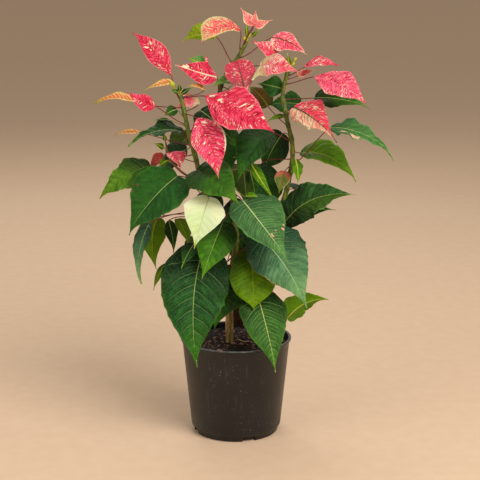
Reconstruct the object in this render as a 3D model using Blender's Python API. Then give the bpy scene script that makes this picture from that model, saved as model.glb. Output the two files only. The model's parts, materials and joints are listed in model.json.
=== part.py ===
"""Potted poinsettia: a three-stemmed young plant with speckled bracts in a 12 cm nursery pot.

The origin is the centre of the pot's base, +Z is up and -Y is the front.
Lengths in this file are millimetres, and become metres when a mesh is made.
"""

import math
from collections import namedtuple

import bmesh
import bpy
import numpy as np

MM = 0.001
GAP = 0.3
SHARP_ANGLE = math.radians(40)

# The pot.
POT_HEIGHT = 105.0
RIM_RADIUS = 60.0
RIM_HEIGHT = 3.0
RIM_LIP = 1.4
RIM_ROUNDING = 1.0
WALL = 1.4
FLOOR = 1.6
FOOT_RADIUS = 45.8
FOOT_HEIGHT = 8.0
HEEL_RADIUS = 48.8
FOOT_BEVEL = 1.0
HEEL_BEVEL = 1.5
POT_SIDES = 48
SLOT_WIDTH = 14.0
SLOT_HEIGHT = 5.0
SLOT_INNER_RADIUS = 39.0
SLOT_OUTER_RADIUS = 54.0
SLOT_COUNT = 4
FIRST_SLOT_ANGLE = -72.0

# The soil.
SOIL_EDGE_HEIGHT = 96.5
SOIL_TOP_HEIGHT = 98.5
SOIL_CROWN_RADIUS = 30.0
SOIL_SIDES = 32
SOCKET_DEPTH = 12.0

# Leaves and stalks.
STEM_SIDES = 10
STEM_STEP = 12.0
STALK_RADIUS = 1.1
STALK_SIDES = 8
STALK_STATIONS = (0.0, 0.3, 0.65)
STALK_REACH = 0.35
BLADE_STATIONS = (0.0, 0.1, 0.24, 0.4, 0.56, 0.72, 0.87, 1.0)
# Across the blade: the share of the half width, and whether a point is on top (1) or underneath (-1).
BLADE_SECTION = ((-1, 0), (-0.55, 1), (0, 1), (0.55, 1), (1, 0), (0.55, -1), (0, -1), (-0.55, -1))
BLADE_THICKNESS = 0.5
TIP_RADIUS = 0.35
VEIN_SWEEP = 0.35
CREST = 0.42

Stem = namedtuple("Stem", "name parent height radius_low radius_top points")

TRUNK_FOOT = (-7, 0, SOIL_TOP_HEIGHT - SOCKET_DEPTH + GAP)

STEMS = (
    Stem("trunk", None, 0, 4.5, 4.1, (TRUNK_FOOT, (-7, 0, 115), (-7, 0, 140), (-6, 0, 162))),
    Stem("stem_centre", None, 0, 3.8, 1.9,
         ((-6, 0, 162.6), (-5.6, 0.3, 170), (-3, 2, 185), (0, 4, 211), (-3, 8, 254), (-9, 12, 296),
          (-15, 14, 339), (-17, 16, 368), (-8, 18, 391), (2, 20, 404), (12, 20, 421))),
    Stem("stem_left", "trunk", 148, 3.1, 2.0,
         ((-17, -7, 156), (-19, -11, 172), (-20, -13, 189), (-25, -17, 231), (-34, -22, 270),
          (-41, -26, 302), (-47, -27, 325), (-50, -27, 338), (-54, -26, 357), (-57, -24, 371))),
    Stem("stem_right", "trunk", 140, 3.2, 2.0,
         ((4, -3, 149), (10, -4, 166), (17, -4, 188), (34, -5, 221), (46, -7, 246), (53, -8, 265),
          (59, -8, 296), (59, -8, 317), (54, -7, 339), (51, -6, 355), (49, -4, 370), (56, -2, 398))),
    Stem("side_shoot", "stem_left", 284, 1.3, 0.9,
         ((-50, -18, 284), (-61, -12, 291), (-70, -8, 302), (-74, -5, 320))),
)

# Blade outlines: how the width grows from the base and closes towards the tip.
BROAD = (0.5, 1.05)
OVATE = (0.62, 1.15)
NARROW = (0.85, 1.2)
TAILED = (0.7, 1.7)
PADDLE = (0.95, 0.6)

# A leaf's stalk leaves its stem at a height. Its blade runs from base to tip, with its upper side turned
# to face. Its midrib bows by arch towards that side and by bend across it. Both halves lift by fold degrees.
Leaf = namedtuple("Leaf", "name stem height base tip width face arch fold bend outline colour")
CENTRE, LEFT, RIGHT, SHOOT = "stem_centre", "stem_left", "stem_right", "side_shoot"

BARK = (0.22, 0.14, 0.06)
STEM = (0.17, 0.18, 0.04)
CRIMSON, PINK, CREAM = "bract_crimson", "bract_pink", "leaf_cream"
GREEN, BRIGHT, OLIVE = "leaf_green", "leaf_bright", "leaf_olive"
COLOURS = {
    CRIMSON: (0.62, 0.05, 0.12),
    PINK: (0.72, 0.25, 0.28),
    CREAM: (0.72, 0.75, 0.45),
    GREEN: (0.04, 0.16, 0.04),
    BRIGHT: (0.16, 0.32, 0.03),
    OLIVE: (0.17, 0.23, 0.02),
}

BRACTS = (
    Leaf("bract_crown", CENTRE, 417, (18, 18, 437), (5, 20, 456), 32, (0, -8, 3), 1, 5, 0, BROAD, PINK),
    Leaf("bract_back_left", CENTRE, 398, (-21, 45, 424), (-59, 58, 418), 32, (0, -8, 4), 2, 8, 4,
         BROAD, BRIGHT),
    Leaf("bract_dome", CENTRE, 411, (5, 15, 432), (-36, -8, 422), 31, (-1, -7, 6), 8, -10, 5, OVATE, CREAM),
    Leaf("bract_top_right", CENTRE, 405, (38, 19, 425), (77, 1, 407), 28, (2, -8, 6), 4, 8, -1, TAILED, PINK),
    Leaf("bract_pale", RIGHT, 393, (44, 5, 406), (17, -4, 423), 22, (-2, -6, 6), 3, 8, -1, OVATE, PINK),
    Leaf("bract_mottled", CENTRE, 396, (25, -8, 398), (64, -37, 395), 28, (1, -8, 5), 4, 6, 0, OVATE, PINK),
    Leaf("bract_upright", CENTRE, 374, (10, -18, 371), (1, -1, 402), 33, (0, 8, -5), -5, 8, 0, PADDLE, PINK),
    Leaf("bract_front", LEFT, 366, (-31, -40, 370), (39, -76, 340), 50, (1, -9, 6), 4, 4, 1, BROAD, CRIMSON),
    Leaf("bract_hanging", LEFT, 350, (-39, -46, 348), (-17, -69, 289), 36, (1, -9, 3), 7, 6, -3,
         BROAD, CRIMSON),
    Leaf("bract_middle_left", CENTRE, 366, (-20, 4, 385), (-62, -18, 400), 25, (0, -9, 4), 3, 8, -2,
         BROAD, PINK),
    Leaf("bract_upper_left", LEFT, 364, (-67, -12, 388), (-108, 6, 432), 28, (-3, -8, 5), 4, 8, 3,
         BROAD, CRIMSON),
    Leaf("bract_behind_left", LEFT, 352, (-38, -2, 360), (-62, -6, 354), 18, (0, -5, 8), 3, 8, 0,
         OVATE, PINK),
    Leaf("bract_right_small", RIGHT, 388, (71, -6, 396), (108, -18, 398), 24, (0, -4, 9), 4, 10, 0,
         OVATE, CRIMSON),
    Leaf("bract_right", RIGHT, 379, (81, -14, 387), (133, -42, 364), 40, (2, -8, 7), 5, 5, 0, BROAD, CRIMSON),
    Leaf("bract_striped", RIGHT, 346, (59, -20, 356), (104, -50, 325), 38, (2, -8, 6), 6, 6, 0, TAILED, PINK),
    Leaf("bract_far_left", LEFT, 357, (-102, -14, 360), (-148, -4, 360), 18, (0, -4, 9), 5, 15, 0,
         OVATE, CREAM),
    Leaf("bract_left_low", LEFT, 340, (-82, -36, 359), (-110, -48, 375), 17, (-1, -9, 3), 3, 8, -2,
         OVATE, CRIMSON),
    Leaf("bract_curled", SHOOT, 306, (-68, -30, 310), (-57, -40, 294), 17, (5, -6, 4), 6, 8, 0, OVATE, PINK),
)

LEAVES = (
    Leaf("leaf_shaded", LEFT, 330, (-37, -12, 352), (4, -38, 314), 42, (2, -8, 5), 6, 6, 0, OVATE, GREEN),
    Leaf("leaf_centre", RIGHT, 321, (38, -24, 330), (1, -54, 284), 46, (-2, -8, 5), 8, 6, 3, OVATE, GREEN),
    Leaf("leaf_behind_right", RIGHT, 324, (50, 16, 324), (30, 28, 280), 40, (-2, -8, 5), 6, 8, 0,
         OVATE, GREEN),
    Leaf("leaf_front_right", CENTRE, 262, (7, -50, 264), (54, -90, 209), 57, (2, -8, 6), 8, 6, 3,
         BROAD, GREEN),
    Leaf("leaf_under_front", RIGHT, 238, (23, -34, 224), (74, -66, 154), 58, (-1, -8, 6), 9, 8, -4,
         BROAD, GREEN),
    Leaf("leaf_yellowing", RIGHT, 200, (15, -24, 207), (19, -56, 149), 56, (1, -9, 4), 6, 4, 0, BROAD, OLIVE),
    Leaf("leaf_over_pot", RIGHT, 172, (22, -34, 162), (42, -76, 88), 50, (1, -9, 5), 7, 6, 0, BROAD, GREEN),
    Leaf("leaf_low_right", RIGHT, 160, (56, 10, 121), (101, 20, 142), 40, (0, 7, 5), 4, 8, 5, BROAD, BRIGHT),
    Leaf("leaf_big_left", LEFT, 222, (-34, -38, 209), (-40, -78, 93), 74, (-1, -9, 3), 9, 5, 6, BROAD, GREEN),
    Leaf("leaf_by_trunk", CENTRE, 209, (-10, -16, 188), (-23, -34, 121), 44, (0, -9, 4), 5, 6, 0,
         OVATE, GREEN),
    Leaf("leaf_cream", LEFT, 256, (-27, -58, 269), (-42, -80, 220), 40, (0, -9, 4), 6, 6, 0, BROAD, CREAM),
    Leaf("leaf_above_cream", LEFT, 302, (-40, -46, 295), (5, -82, 266), 48, (1, -8, 7), 6, 6, 0,
         BROAD, GREEN),
    Leaf("leaf_far_left", LEFT, 280, (-60, -36, 287), (-112, -50, 228), 62, (-4, -8, 5), 7, 6, 0,
         BROAD, GREEN),
    Leaf("leaf_leftmost", LEFT, 308, (-91, 8, 291), (-149, 16, 254), 34, (-2, -8, 6), 7, 10, 0,
         OVATE, BRIGHT),
    Leaf("leaf_left_narrow", LEFT, 250, (-91, -8, 232), (-103, -16, 166), 26, (-6, -7, 3), 8, 12, 0,
         NARROW, GREEN),
    Leaf("leaf_left_olive", LEFT, 244, (-84, 14, 233), (-88, 28, 173), 40, (-2, 8, 4), 6, 6, -4,
         OVATE, OLIVE),
    Leaf("leaf_left_dark", LEFT, 238, (-72, 4, 232), (-67, 12, 194), 17, (3, -8, 3), 3, 8, 0, OVATE, GREEN),
    Leaf("leaf_left_folded", LEFT, 232, (-62, -8, 236), (-50, -2, 205), 20, (4, 8, 3), 3, 14, 0,
         OVATE, OLIVE),
    Leaf("leaf_below_cream", CENTRE, 246, (-13, -42, 240), (-35, -72, 186), 42, (0, -8, 5), 6, 6, 0,
         BROAD, GREEN),
    Leaf("leaf_small_dark", LEFT, 224, (-43, -42, 217), (-56, -66, 197), 17, (-1, -8, 5), 2, 8, 0,
         OVATE, GREEN),
    Leaf("leaf_right_bright", RIGHT, 308, (69, 10, 304), (128, -14, 278), 42, (2, -6, 8), 11, 6, -2,
         OVATE, BRIGHT),
    Leaf("leaf_hanging_small", RIGHT, 286, (62, -20, 302), (65, -26, 277), 13, (4, -8, 2), 2, 8, 0,
         OVATE, BRIGHT),
    Leaf("leaf_right_dark", RIGHT, 252, (53, -18, 236), (124, -38, 269), 46, (0, -7, 7), 7, 6, -8,
         OVATE, GREEN),
    Leaf("leaf_right_long", RIGHT, 296, (98, -22, 335), (164, -54, 310), 28, (2, -6, 8), 8, 6, -2,
         TAILED, GREEN),
    Leaf("leaf_under_right", RIGHT, 362, (83, 6, 363), (141, -2, 354), 32, (0, -6, 8), 4, 8, 0,
         TAILED, GREEN),
    Leaf("leaf_behind_top", RIGHT, 350, (68, 18, 355), (34, 32, 353), 32, (0, -6, 7), 2, 8, 0, OVATE, GREEN),
    Leaf("leaf_brown_olive", RIGHT, 336, (34, 26, 352), (14, 42, 372), 28, (0, -7, 6), 4, 8, 0, OVATE, OLIVE),
    Leaf("leaf_left_flat", LEFT, 312, (-55, -18, 330), (-112, -28, 318), 32, (0, -3, 9), 6, 8, 4,
         TAILED, GREEN),
    Leaf("leaf_behind_curl", LEFT, 318, (-52, 8, 308), (-84, 26, 278), 38, (-3, -6, 7), 5, 6, 0,
         OVATE, GREEN),
    Leaf("leaf_back_top", CENTRE, 352, (-4, 46, 352), (8, 98, 318), 44, (1, 5, 8), 10, 6, 0, BROAD, GREEN),
    Leaf("leaf_back_upper_left", CENTRE, 326, (-38, 49, 322), (-71, 91, 281), 47, (-3, 5, 8), 9, 6, 0,
         BROAD, GREEN),
    Leaf("leaf_back_middle", CENTRE, 282, (4, 52, 284), (12, 112, 226), 60, (1, 6, 7), 12, 6, 0,
         BROAD, GREEN),
    Leaf("leaf_back_left", LEFT, 262, (-52, 34, 268), (-84, 86, 222), 54, (-3, 6, 7), 10, 6, 0, BROAD, GREEN),
    Leaf("leaf_back_right", RIGHT, 268, (66, 32, 262), (92, 88, 226), 50, (3, 6, 7), 10, 6, 0, BROAD, GREEN),
    Leaf("leaf_back_low", CENTRE, 218, (-24, 44, 206), (-34, 92, 146), 60, (-2, 7, 5), 10, 6, 0,
         BROAD, GREEN),
)


def clear_scene():
    """Removes whatever objects the open file holds."""
    for thing in list(bpy.data.objects):
        bpy.data.objects.remove(thing, do_unlink=True)


def unit(vector):
    """The vector at length one."""
    vector = np.asarray(vector, dtype=float)
    return vector / np.linalg.norm(vector)


def across(vector, direction):
    """The part of a vector that is square to a direction, at length one."""
    return unit(vector - np.dot(vector, direction) * direction)


def make_material(name, colour, roughness):
    """A plain Principled material."""
    material = bpy.data.materials.get(name) or bpy.data.materials.new(name)
    material.use_nodes = True
    shader = material.node_tree.nodes["Principled BSDF"]
    shader.inputs["Base Color"].default_value = (*colour, 1.0)
    shader.inputs["Roughness"].default_value = roughness
    shader.inputs["Metallic"].default_value = 0.0
    return material


def make_object(name, points, faces, material=None):
    """A smooth-shaded mesh object from millimetre points, with every face turned outwards."""
    form = bmesh.new()
    corners = [form.verts.new(np.asarray(point) * MM) for point in points]
    for face in faces:
        form.faces.new([corners[index] for index in face])
    bmesh.ops.recalc_face_normals(form, faces=form.faces)
    mesh = bpy.data.meshes.new(name)
    form.to_mesh(mesh)
    form.free()
    if material:
        mesh.materials.append(material)
    mesh.shade_smooth()
    mesh.set_sharp_from_angle(angle=SHARP_ANGLE)
    thing = bpy.data.objects.new(name, mesh)
    bpy.context.collection.objects.link(thing)
    return thing


def skin(rings):
    """Points and faces of a closed tube through rings of the same number of points."""
    count = len(rings[0])
    points = [point for ring in rings for point in ring]
    faces = [list(range(count)), list(range(len(points) - count, len(points)))]
    for low in range(0, len(points) - count, count):
        for side in range(count):
            turn = (side + 1) % count
            faces.append([low + side, low + turn, low + count + turn, low + count + side])
    return points, faces


def circle(centre, first, second, radius, sides):
    """A ring of points round a centre, in the plane of two directions."""
    angles = [2 * math.pi * side / sides for side in range(sides)]
    return [centre + radius * (math.cos(angle) * first + math.sin(angle) * second) for angle in angles]


def turned(name, profile, sides, material):
    """A solid turned about +Z from a profile of (radius, height) that starts and ends on the axis."""
    east, north = np.array((1.0, 0, 0)), np.array((0, 1.0, 0))
    rings = [circle(np.array((0, 0, height)), east, north, radius, sides) for radius, height in profile[1:-1]]
    points, faces = skin(rings)
    faces = faces[2:]
    points += [np.array((0, 0, profile[0][1])), np.array((0, 0, profile[-1][1]))]
    low_hub, top_hub = len(points) - 2, len(points) - 1
    top_ring = (len(rings) - 1) * sides
    for side in range(sides):
        turn = (side + 1) % sides
        faces.append([low_hub, turn, side])
        faces.append([top_hub, top_ring + side, top_ring + turn])
    return make_object(name, points, faces, material)


def cut(thing, cutter):
    """Takes the cutter's shape out of an object."""
    cutter.hide_render = True
    cutter.display_type = "WIRE"
    cutting = thing.modifiers.new("cut", "BOOLEAN")
    cutting.operation = "DIFFERENCE"
    cutting.solver = "EXACT"
    cutting.object = cutter


def wall_radius(height):
    """The outer radius of the pot's tapered wall at a height."""
    rise = (height - FOOT_HEIGHT) / (POT_HEIGHT - FOOT_HEIGHT)
    return HEEL_RADIUS + rise * (RIM_RADIUS - RIM_LIP - HEEL_RADIUS)


def make_pot():
    """The tapered tub with a rolled lip, a set-in foot and drain slots through the foot."""
    under_rim = POT_HEIGHT - RIM_HEIGHT
    profile = (
        (0, 0), (FOOT_RADIUS - FOOT_BEVEL, 0), (FOOT_RADIUS, FOOT_BEVEL),
        (HEEL_RADIUS - HEEL_BEVEL, FOOT_HEIGHT - HEEL_BEVEL), (HEEL_RADIUS, FOOT_HEIGHT),
        (wall_radius(under_rim), under_rim), (RIM_RADIUS - RIM_ROUNDING / 2, under_rim + RIM_ROUNDING / 2),
        (RIM_RADIUS, under_rim + RIM_HEIGHT / 2), (RIM_RADIUS - RIM_ROUNDING, POT_HEIGHT),
        (wall_radius(POT_HEIGHT) - WALL, POT_HEIGHT), (wall_radius(FOOT_HEIGHT) - WALL, FOOT_HEIGHT),
        (FOOT_RADIUS - WALL, FLOOR), (0, FLOOR),
    )
    pot = turned("pot", profile, POT_SIDES, make_material("black_plastic", (0.022, 0.02, 0.018), 0.45))
    points, faces = [], []
    for slot in range(SLOT_COUNT):
        angle = math.radians(FIRST_SLOT_ANGLE + slot * 360 / SLOT_COUNT)
        outward = np.array((math.cos(angle), math.sin(angle), 0))
        along = np.array((-math.sin(angle), math.cos(angle), 0))
        rings = []
        for radius in (SLOT_INNER_RADIUS, SLOT_OUTER_RADIUS):
            corners = ((-1, -1.0), (1, -1.0), (1, SLOT_HEIGHT), (-1, SLOT_HEIGHT))
            rings.append([outward * radius + along * side * SLOT_WIDTH / 2 + np.array((0, 0, height))
                          for side, height in corners])
        slot_points, slot_faces = skin(rings)
        faces += [[index + len(points) for index in face] for face in slot_faces]
        points += slot_points
    cut(pot, make_object("pot_slots_cutter", points, faces))


def make_soil():
    """The block of potting mix, clear of the pot's wall and with a socket for the trunk."""
    profile = (
        (0, FLOOR + GAP), (FOOT_RADIUS - WALL - GAP, FLOOR + GAP),
        (wall_radius(FOOT_HEIGHT) - WALL - GAP, FOOT_HEIGHT),
        (wall_radius(SOIL_EDGE_HEIGHT) - WALL - GAP, SOIL_EDGE_HEIGHT),
        (SOIL_CROWN_RADIUS, SOIL_TOP_HEIGHT), (0, SOIL_TOP_HEIGHT),
    )
    soil = turned("soil", profile, SOIL_SIDES, make_material("potting_mix", (0.035, 0.02, 0.014), 0.95))
    east, north = np.array((1.0, 0, 0)), np.array((0, 1.0, 0))
    rings = []
    for height in (SOIL_TOP_HEIGHT - SOCKET_DEPTH, SOIL_TOP_HEIGHT + SOCKET_DEPTH):
        centre = np.array((TRUNK_FOOT[0], TRUNK_FOOT[1], height))
        rings.append(circle(centre, east, north, STEMS[0].radius_low + GAP, STEM_SIDES))
    points, faces = skin(rings)
    cut(soil, make_object("trunk_socket_cutter", points, faces))


def smooth_route(points):
    """Evenly spaced points along a smooth curve through the given points."""
    points = [np.asarray(point, dtype=float) for point in points]
    padded = [2 * points[0] - points[1], *points, 2 * points[-1] - points[-2]]
    route = [points[0]]
    for before, start, end, after in zip(padded, padded[1:], padded[2:], padded[3:]):
        pieces = max(1, round(np.linalg.norm(end - start) / STEM_STEP))
        for piece in range(1, pieces + 1):
            t = piece / pieces
            route.append(0.5 * (2 * start + (end - before) * t
                                + (2 * before - 5 * start + 4 * end - after) * t ** 2
                                + (3 * start - before - 3 * end + after) * t ** 3))
    return route


def stem_radius(stem, route, index):
    """The stem's radius at a point of its route."""
    return stem.radius_low + (stem.radius_top - stem.radius_low) * index / (len(route) - 1)


def seat(stem, route, height, target):
    """Where a stalk leaves a stem at a height towards a target: its start and its outward direction."""
    index = max(i for i, point in enumerate(route[:-1]) if point[2] <= height)
    low, top = route[index], route[index + 1]
    share = (height - low[2]) / (top[2] - low[2])
    centre = low + share * (top - low)
    radius = stem_radius(stem, route, index + share)
    outward = across(np.asarray(target, dtype=float) - centre, unit(top - low))
    return centre + outward * (radius + GAP), outward


def plan_stems():
    """The route of every stem, by name, each side stem seated on its parent."""
    routes = {}
    stems = {stem.name: stem for stem in STEMS}
    for stem in STEMS:
        points = list(stem.points)
        if stem.parent:
            start, outward = seat(stems[stem.parent], routes[stem.parent], stem.height, points[0])
            points = [start, start + outward * stem.radius_low, *points]
        routes[stem.name] = smooth_route(points)
    return stems, routes


def make_stem(stem, route):
    """One tapered stem along its route."""
    rings = []
    normal = None
    for index, point in enumerate(route):
        before, after = route[max(index - 1, 0)], route[min(index + 1, len(route) - 1)]
        direction = unit(after - before)
        if normal is None:
            normal = np.eye(3)[np.argmin(abs(direction))]
        normal = across(normal, direction)
        radius = stem_radius(stem, route, index)
        rings.append(circle(point, normal, np.cross(direction, normal), radius, STEM_SIDES))
    points, faces = skin(rings)
    skin_colour, skin_name = (BARK, "bark") if stem.name == "trunk" else (STEM, "green_stem")
    make_object(stem.name, points, faces, make_material(skin_name, skin_colour, 0.6))


def half_width(leaf, t):
    """Half of the blade's width at a share t of its midrib."""
    growth, closing = leaf.outline
    widest = growth / (growth + closing)
    return leaf.width / 2 * (t / widest) ** growth * ((1 - t) / (1 - widest)) ** closing


def midrib(leaf):
    """The midrib's control points, and the blade's upper direction."""
    base, tip = np.array(leaf.base, dtype=float), np.array(leaf.tip, dtype=float)
    chord = tip - base
    up = across(np.array(leaf.face, dtype=float), unit(chord))
    side = np.cross(unit(chord), up)
    crest = base + chord * CREST + up * 2 * leaf.arch + side * 2 * leaf.bend
    return (base, crest, tip), up


def curve(points, t):
    """A point and a direction on a Bezier curve of three or four control points."""
    levels = [list(points)]
    while len(levels[-1]) > 1:
        last = levels[-1]
        levels.append([a + (b - a) * t for a, b in zip(last, last[1:])])
    return levels[-1][0], unit(levels[-2][1] - levels[-2][0])


def blade_ring(leaf, rib, up, t):
    """The points of the blade's section at t, in the order of BLADE_SECTION."""
    centre, along = curve(rib, t)
    normal = across(up, along)
    side = np.cross(along, normal)
    width = max(half_width(leaf, t), TIP_RADIUS)
    leafy = min(t / BLADE_STATIONS[1], 1.0)
    thick = STALK_RADIUS + (BLADE_THICKNESS / 2 - STALK_RADIUS) * leafy
    width = max(width, STALK_RADIUS * (1 - leafy))
    tilt = math.radians(leaf.fold)
    ring = []
    for share, lift in BLADE_SECTION:
        reach = abs(share) * width
        point = centre + side * share * width * math.cos(tilt) + normal * reach * math.sin(tilt)
        point = point + along * reach * VEIN_SWEEP * leafy * (1 - t)
        ring.append(point + normal * lift * thick)
    return ring


def make_leaf(leaf, stems, routes):
    """One leaf: a round stalk from its stem, and a folded, arched blade that thins to its edges."""
    rib, up = midrib(leaf)
    start, outward = seat(stems[leaf.stem], routes[leaf.stem], leaf.height, leaf.base)
    _, along = curve(rib, 0)
    reach = np.linalg.norm(rib[0] - start) * STALK_REACH
    stalk = (start, start + outward * reach, rib[0] - along * reach, rib[0])
    rings = [blade_ring(leaf, rib, up, t) for t in BLADE_STATIONS[1:]]
    normal = across(up, along)
    for t in (1.0, *reversed(STALK_STATIONS)):
        centre, direction = curve(stalk, t)
        normal = across(normal, direction)
        side = np.cross(direction, normal)
        rings.insert(0, circle(centre, -side, normal, STALK_RADIUS, STALK_SIDES))
    points, faces = skin(rings)
    make_object(leaf.name, points, faces, make_material(leaf.colour, COLOURS[leaf.colour], 0.5))


def main():
    """Builds every piece of the potted plant."""
    clear_scene()
    make_pot()
    make_soil()
    stems, routes = plan_stems()
    for stem in STEMS:
        make_stem(stem, routes[stem.name])
    for leaf in BRACTS + LEAVES:
        make_leaf(leaf, stems, routes)


main()
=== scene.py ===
# %% [markdown]
# # A potted poinsettia
#
# The plant stands in a black nursery pot. The imported model gives every leaf, stem, the soil and the pot as a
# plain solid in its right place. This lesson grows a detailed piece over each of those solids: thin blades
# with veins and wavy edges, ribbed stalks, knobbly stems, loose soil and a moulded pot.
#
# We start by loading the imported model. Its parts are kept, hidden wherever a detailed piece replaces them.

# %% Load the imported model
import json
import math
from collections import namedtuple

import bpy
import numpy as np
from mathutils import Matrix, Vector, noise

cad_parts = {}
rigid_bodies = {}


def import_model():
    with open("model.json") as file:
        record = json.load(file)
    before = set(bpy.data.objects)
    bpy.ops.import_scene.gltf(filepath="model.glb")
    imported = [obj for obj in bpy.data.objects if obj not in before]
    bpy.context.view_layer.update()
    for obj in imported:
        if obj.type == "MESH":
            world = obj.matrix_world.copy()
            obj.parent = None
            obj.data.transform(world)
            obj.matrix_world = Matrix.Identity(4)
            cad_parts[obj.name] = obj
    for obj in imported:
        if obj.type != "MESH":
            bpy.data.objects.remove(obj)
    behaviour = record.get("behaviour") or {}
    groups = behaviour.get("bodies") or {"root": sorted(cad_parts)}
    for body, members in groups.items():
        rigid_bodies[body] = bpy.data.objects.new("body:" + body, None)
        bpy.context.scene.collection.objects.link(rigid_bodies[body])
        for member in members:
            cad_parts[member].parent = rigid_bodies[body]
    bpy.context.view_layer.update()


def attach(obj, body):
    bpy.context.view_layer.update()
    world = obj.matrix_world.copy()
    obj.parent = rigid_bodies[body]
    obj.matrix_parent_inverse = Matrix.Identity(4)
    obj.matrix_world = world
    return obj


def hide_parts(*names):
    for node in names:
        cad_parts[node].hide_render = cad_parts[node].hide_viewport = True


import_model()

# %% [markdown]
# ## Camera, floor and light
#
# The camera looks slightly down from the front, with a long lens that keeps the pot's sides nearly straight.
# The light is that of a small studio: a big soft lamp high on the right, a weaker one on the left, and a pale
# surrounding that fills the shadows. The Standard view keeps the bracts as saturated as they are in daylight.

# %% Camera
MM = 0.001
CAMERA_PLACE = (4.4, -1394.0, 518.0)
CAMERA_DIP = 12.4
LENS = 100.0
SENSOR = 36.0

camera_data = bpy.data.cameras.new("camera")
camera_data.lens = LENS
camera_data.sensor_width = SENSOR
camera = bpy.data.objects.new("camera", camera_data)
camera.location = [value * MM for value in CAMERA_PLACE]
camera.rotation_euler = (math.radians(90 - CAMERA_DIP), 0, 0)
bpy.context.scene.collection.objects.link(camera)
bpy.context.scene.camera = camera
bpy.context.scene.view_settings.view_transform = "Standard"
print("camera", tuple(camera.location))


# %% Colours
def shade(red, green, blue):
    """A colour given as it looks on screen, from 0 to 255, in the linear values that shaders use."""
    return tuple((value / 255 / 12.92 if value <= 10 else ((value / 255 + 0.055) / 1.055) ** 2.4)
                 for value in (red, green, blue))


CREAM = shade(240, 234, 200)
LEAF_CREAM = shade(226, 233, 180)
print("cream", CREAM)


# %% Lamps
def add_lamp(name, place, target, size, power, tint):
    """A square soft lamp that shines from a place at a target."""
    data = bpy.data.lights.new(name, "AREA")
    data.size = size
    data.energy = power
    data.color = tint
    lamp = bpy.data.objects.new(name, data)
    lamp.location = place
    lamp.rotation_euler = (Vector(target) - Vector(place)).to_track_quat("-Z", "Y").to_euler()
    bpy.context.scene.collection.objects.link(lamp)


PLANT_MIDDLE = (0, 0, 0.25)
add_lamp("key_lamp", (0.9, -1.3, 1.5), PLANT_MIDDLE, 1.3, 36, (1.0, 0.95, 0.88))
add_lamp("fill_lamp", (-1.5, -1.2, 0.9), PLANT_MIDDLE, 1.4, 10, (1.0, 0.96, 0.9))
add_lamp("back_lamp", (-0.3, 1.3, 1.5), PLANT_MIDDLE, 1.0, 8, (1.0, 0.98, 0.95))

world = bpy.data.worlds.new("studio")
world.use_nodes = True
world.node_tree.nodes["Background"].inputs["Color"].default_value = (0.96, 0.86, 0.74, 1)
world.node_tree.nodes["Background"].inputs["Strength"].default_value = 0.36
bpy.context.scene.world = world
print("lamps", len(bpy.data.lights))

# %% [markdown]
# ## A short way to write shader nodes
#
# Every finish here is made of nodes. Written out in full, each node takes several lines, which hides the idea
# behind it. `Graph` adds a node, fills its inputs with numbers, colours or other nodes' outputs, and hands
# back an output, so that a pattern reads like a formula.


# %% The node writer
class Graph:
    """A node tree that is being written."""

    def __init__(self, tree):
        self.tree = tree

    def node(self, kind, inputs=None, output=0, **settings):
        """Adds a node, and gives one of its outputs."""
        made = self.tree.nodes.new("ShaderNode" + kind)
        for name, value in settings.items():
            setattr(made, name, value)
        for key, value in (inputs or {}).items():
            self.fill(made.inputs[key], value)
        return made.outputs[output]

    def fill(self, socket, value):
        """Sets an input to a number or a colour, or links it to an output."""
        if isinstance(value, bpy.types.NodeSocket):
            self.tree.links.new(value, socket)
        elif socket.type == "RGBA" and len(value) == 3:
            socket.default_value = (*value, 1.0)
        else:
            socket.default_value = value

    def math(self, operation, first, second=0.0, third=0.0):
        """One sum on numbers."""
        return self.node("Math", {0: first, 1: second, 2: third}, operation=operation)

    def mix(self, share, first, second):
        """The second colour over the first, by a share."""
        return self.node("Mix", {0: share, 6: first, 7: second}, output=2, data_type="RGBA")

    def ramp(self, value, low, high, start=0.0, end=1.0):
        """A soft step: start below low, end above high."""
        inputs = {0: value, 1: low, 2: high, 3: start, 4: end}
        return self.node("MapRange", inputs, interpolation_type="SMOOTHSTEP")

    def vector(self, x, y, z):
        """A vector from three numbers."""
        return self.node("CombineXYZ", {0: x, 1: y, 2: z})

    def noise(self, place, scale=1.0, detail=2.0):
        """Cloudy values round one half."""
        return self.node("TexNoise", {"Vector": place, "Scale": scale, "Detail": detail})


def new_group(name, inputs, outputs):
    """An empty node group: its Graph, its inputs by name, and its output node's inputs."""
    tree = bpy.data.node_groups.new(name, "ShaderNodeTree")
    for socket, (kind, value) in inputs.items():
        made = tree.interface.new_socket(socket, in_out="INPUT", socket_type="NodeSocket" + kind)
        if value is not None:
            made.default_value = value
    for socket, kind in outputs.items():
        tree.interface.new_socket(socket, in_out="OUTPUT", socket_type="NodeSocket" + kind)
    entry = tree.nodes.new("NodeGroupInput")
    leaving = tree.nodes.new("NodeGroupOutput")
    return Graph(tree), entry.outputs, leaving.inputs


def use_group(graph, name, inputs=None):
    """Places a node group in a graph, and gives its outputs by name."""
    made = graph.tree.nodes.new("ShaderNodeGroup")
    made.node_tree = bpy.data.node_groups[name]
    for key, value in (inputs or {}).items():
        graph.fill(made.inputs[key], value)
    return made.outputs


def new_material(name):
    """An empty material with a Principled shader, as a Graph and the shader's inputs."""
    material = bpy.data.materials.new(name)
    material.use_nodes = True
    return material, Graph(material.node_tree), material.node_tree.nodes["Principled BSDF"].inputs


print("ready to write nodes")

# %% [markdown]
# ## What a leaf's skin is made of
#
# A blade's mesh carries its own map: how far a point is across the blade (0 at the rib, 1 at the edge), how
# far along it, which vein it lies near, and whether it is on the upper side. The patterns below are drawn on
# that map, not on flat image coordinates, so veins run from the rib to the edge however the blade bends.
#
# Three groups serve all leaves: the map itself, the vein lines, and streaks that lie along the veins. The
# last one also gives the cream flecks that this kind of poinsettia is grown for.

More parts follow.
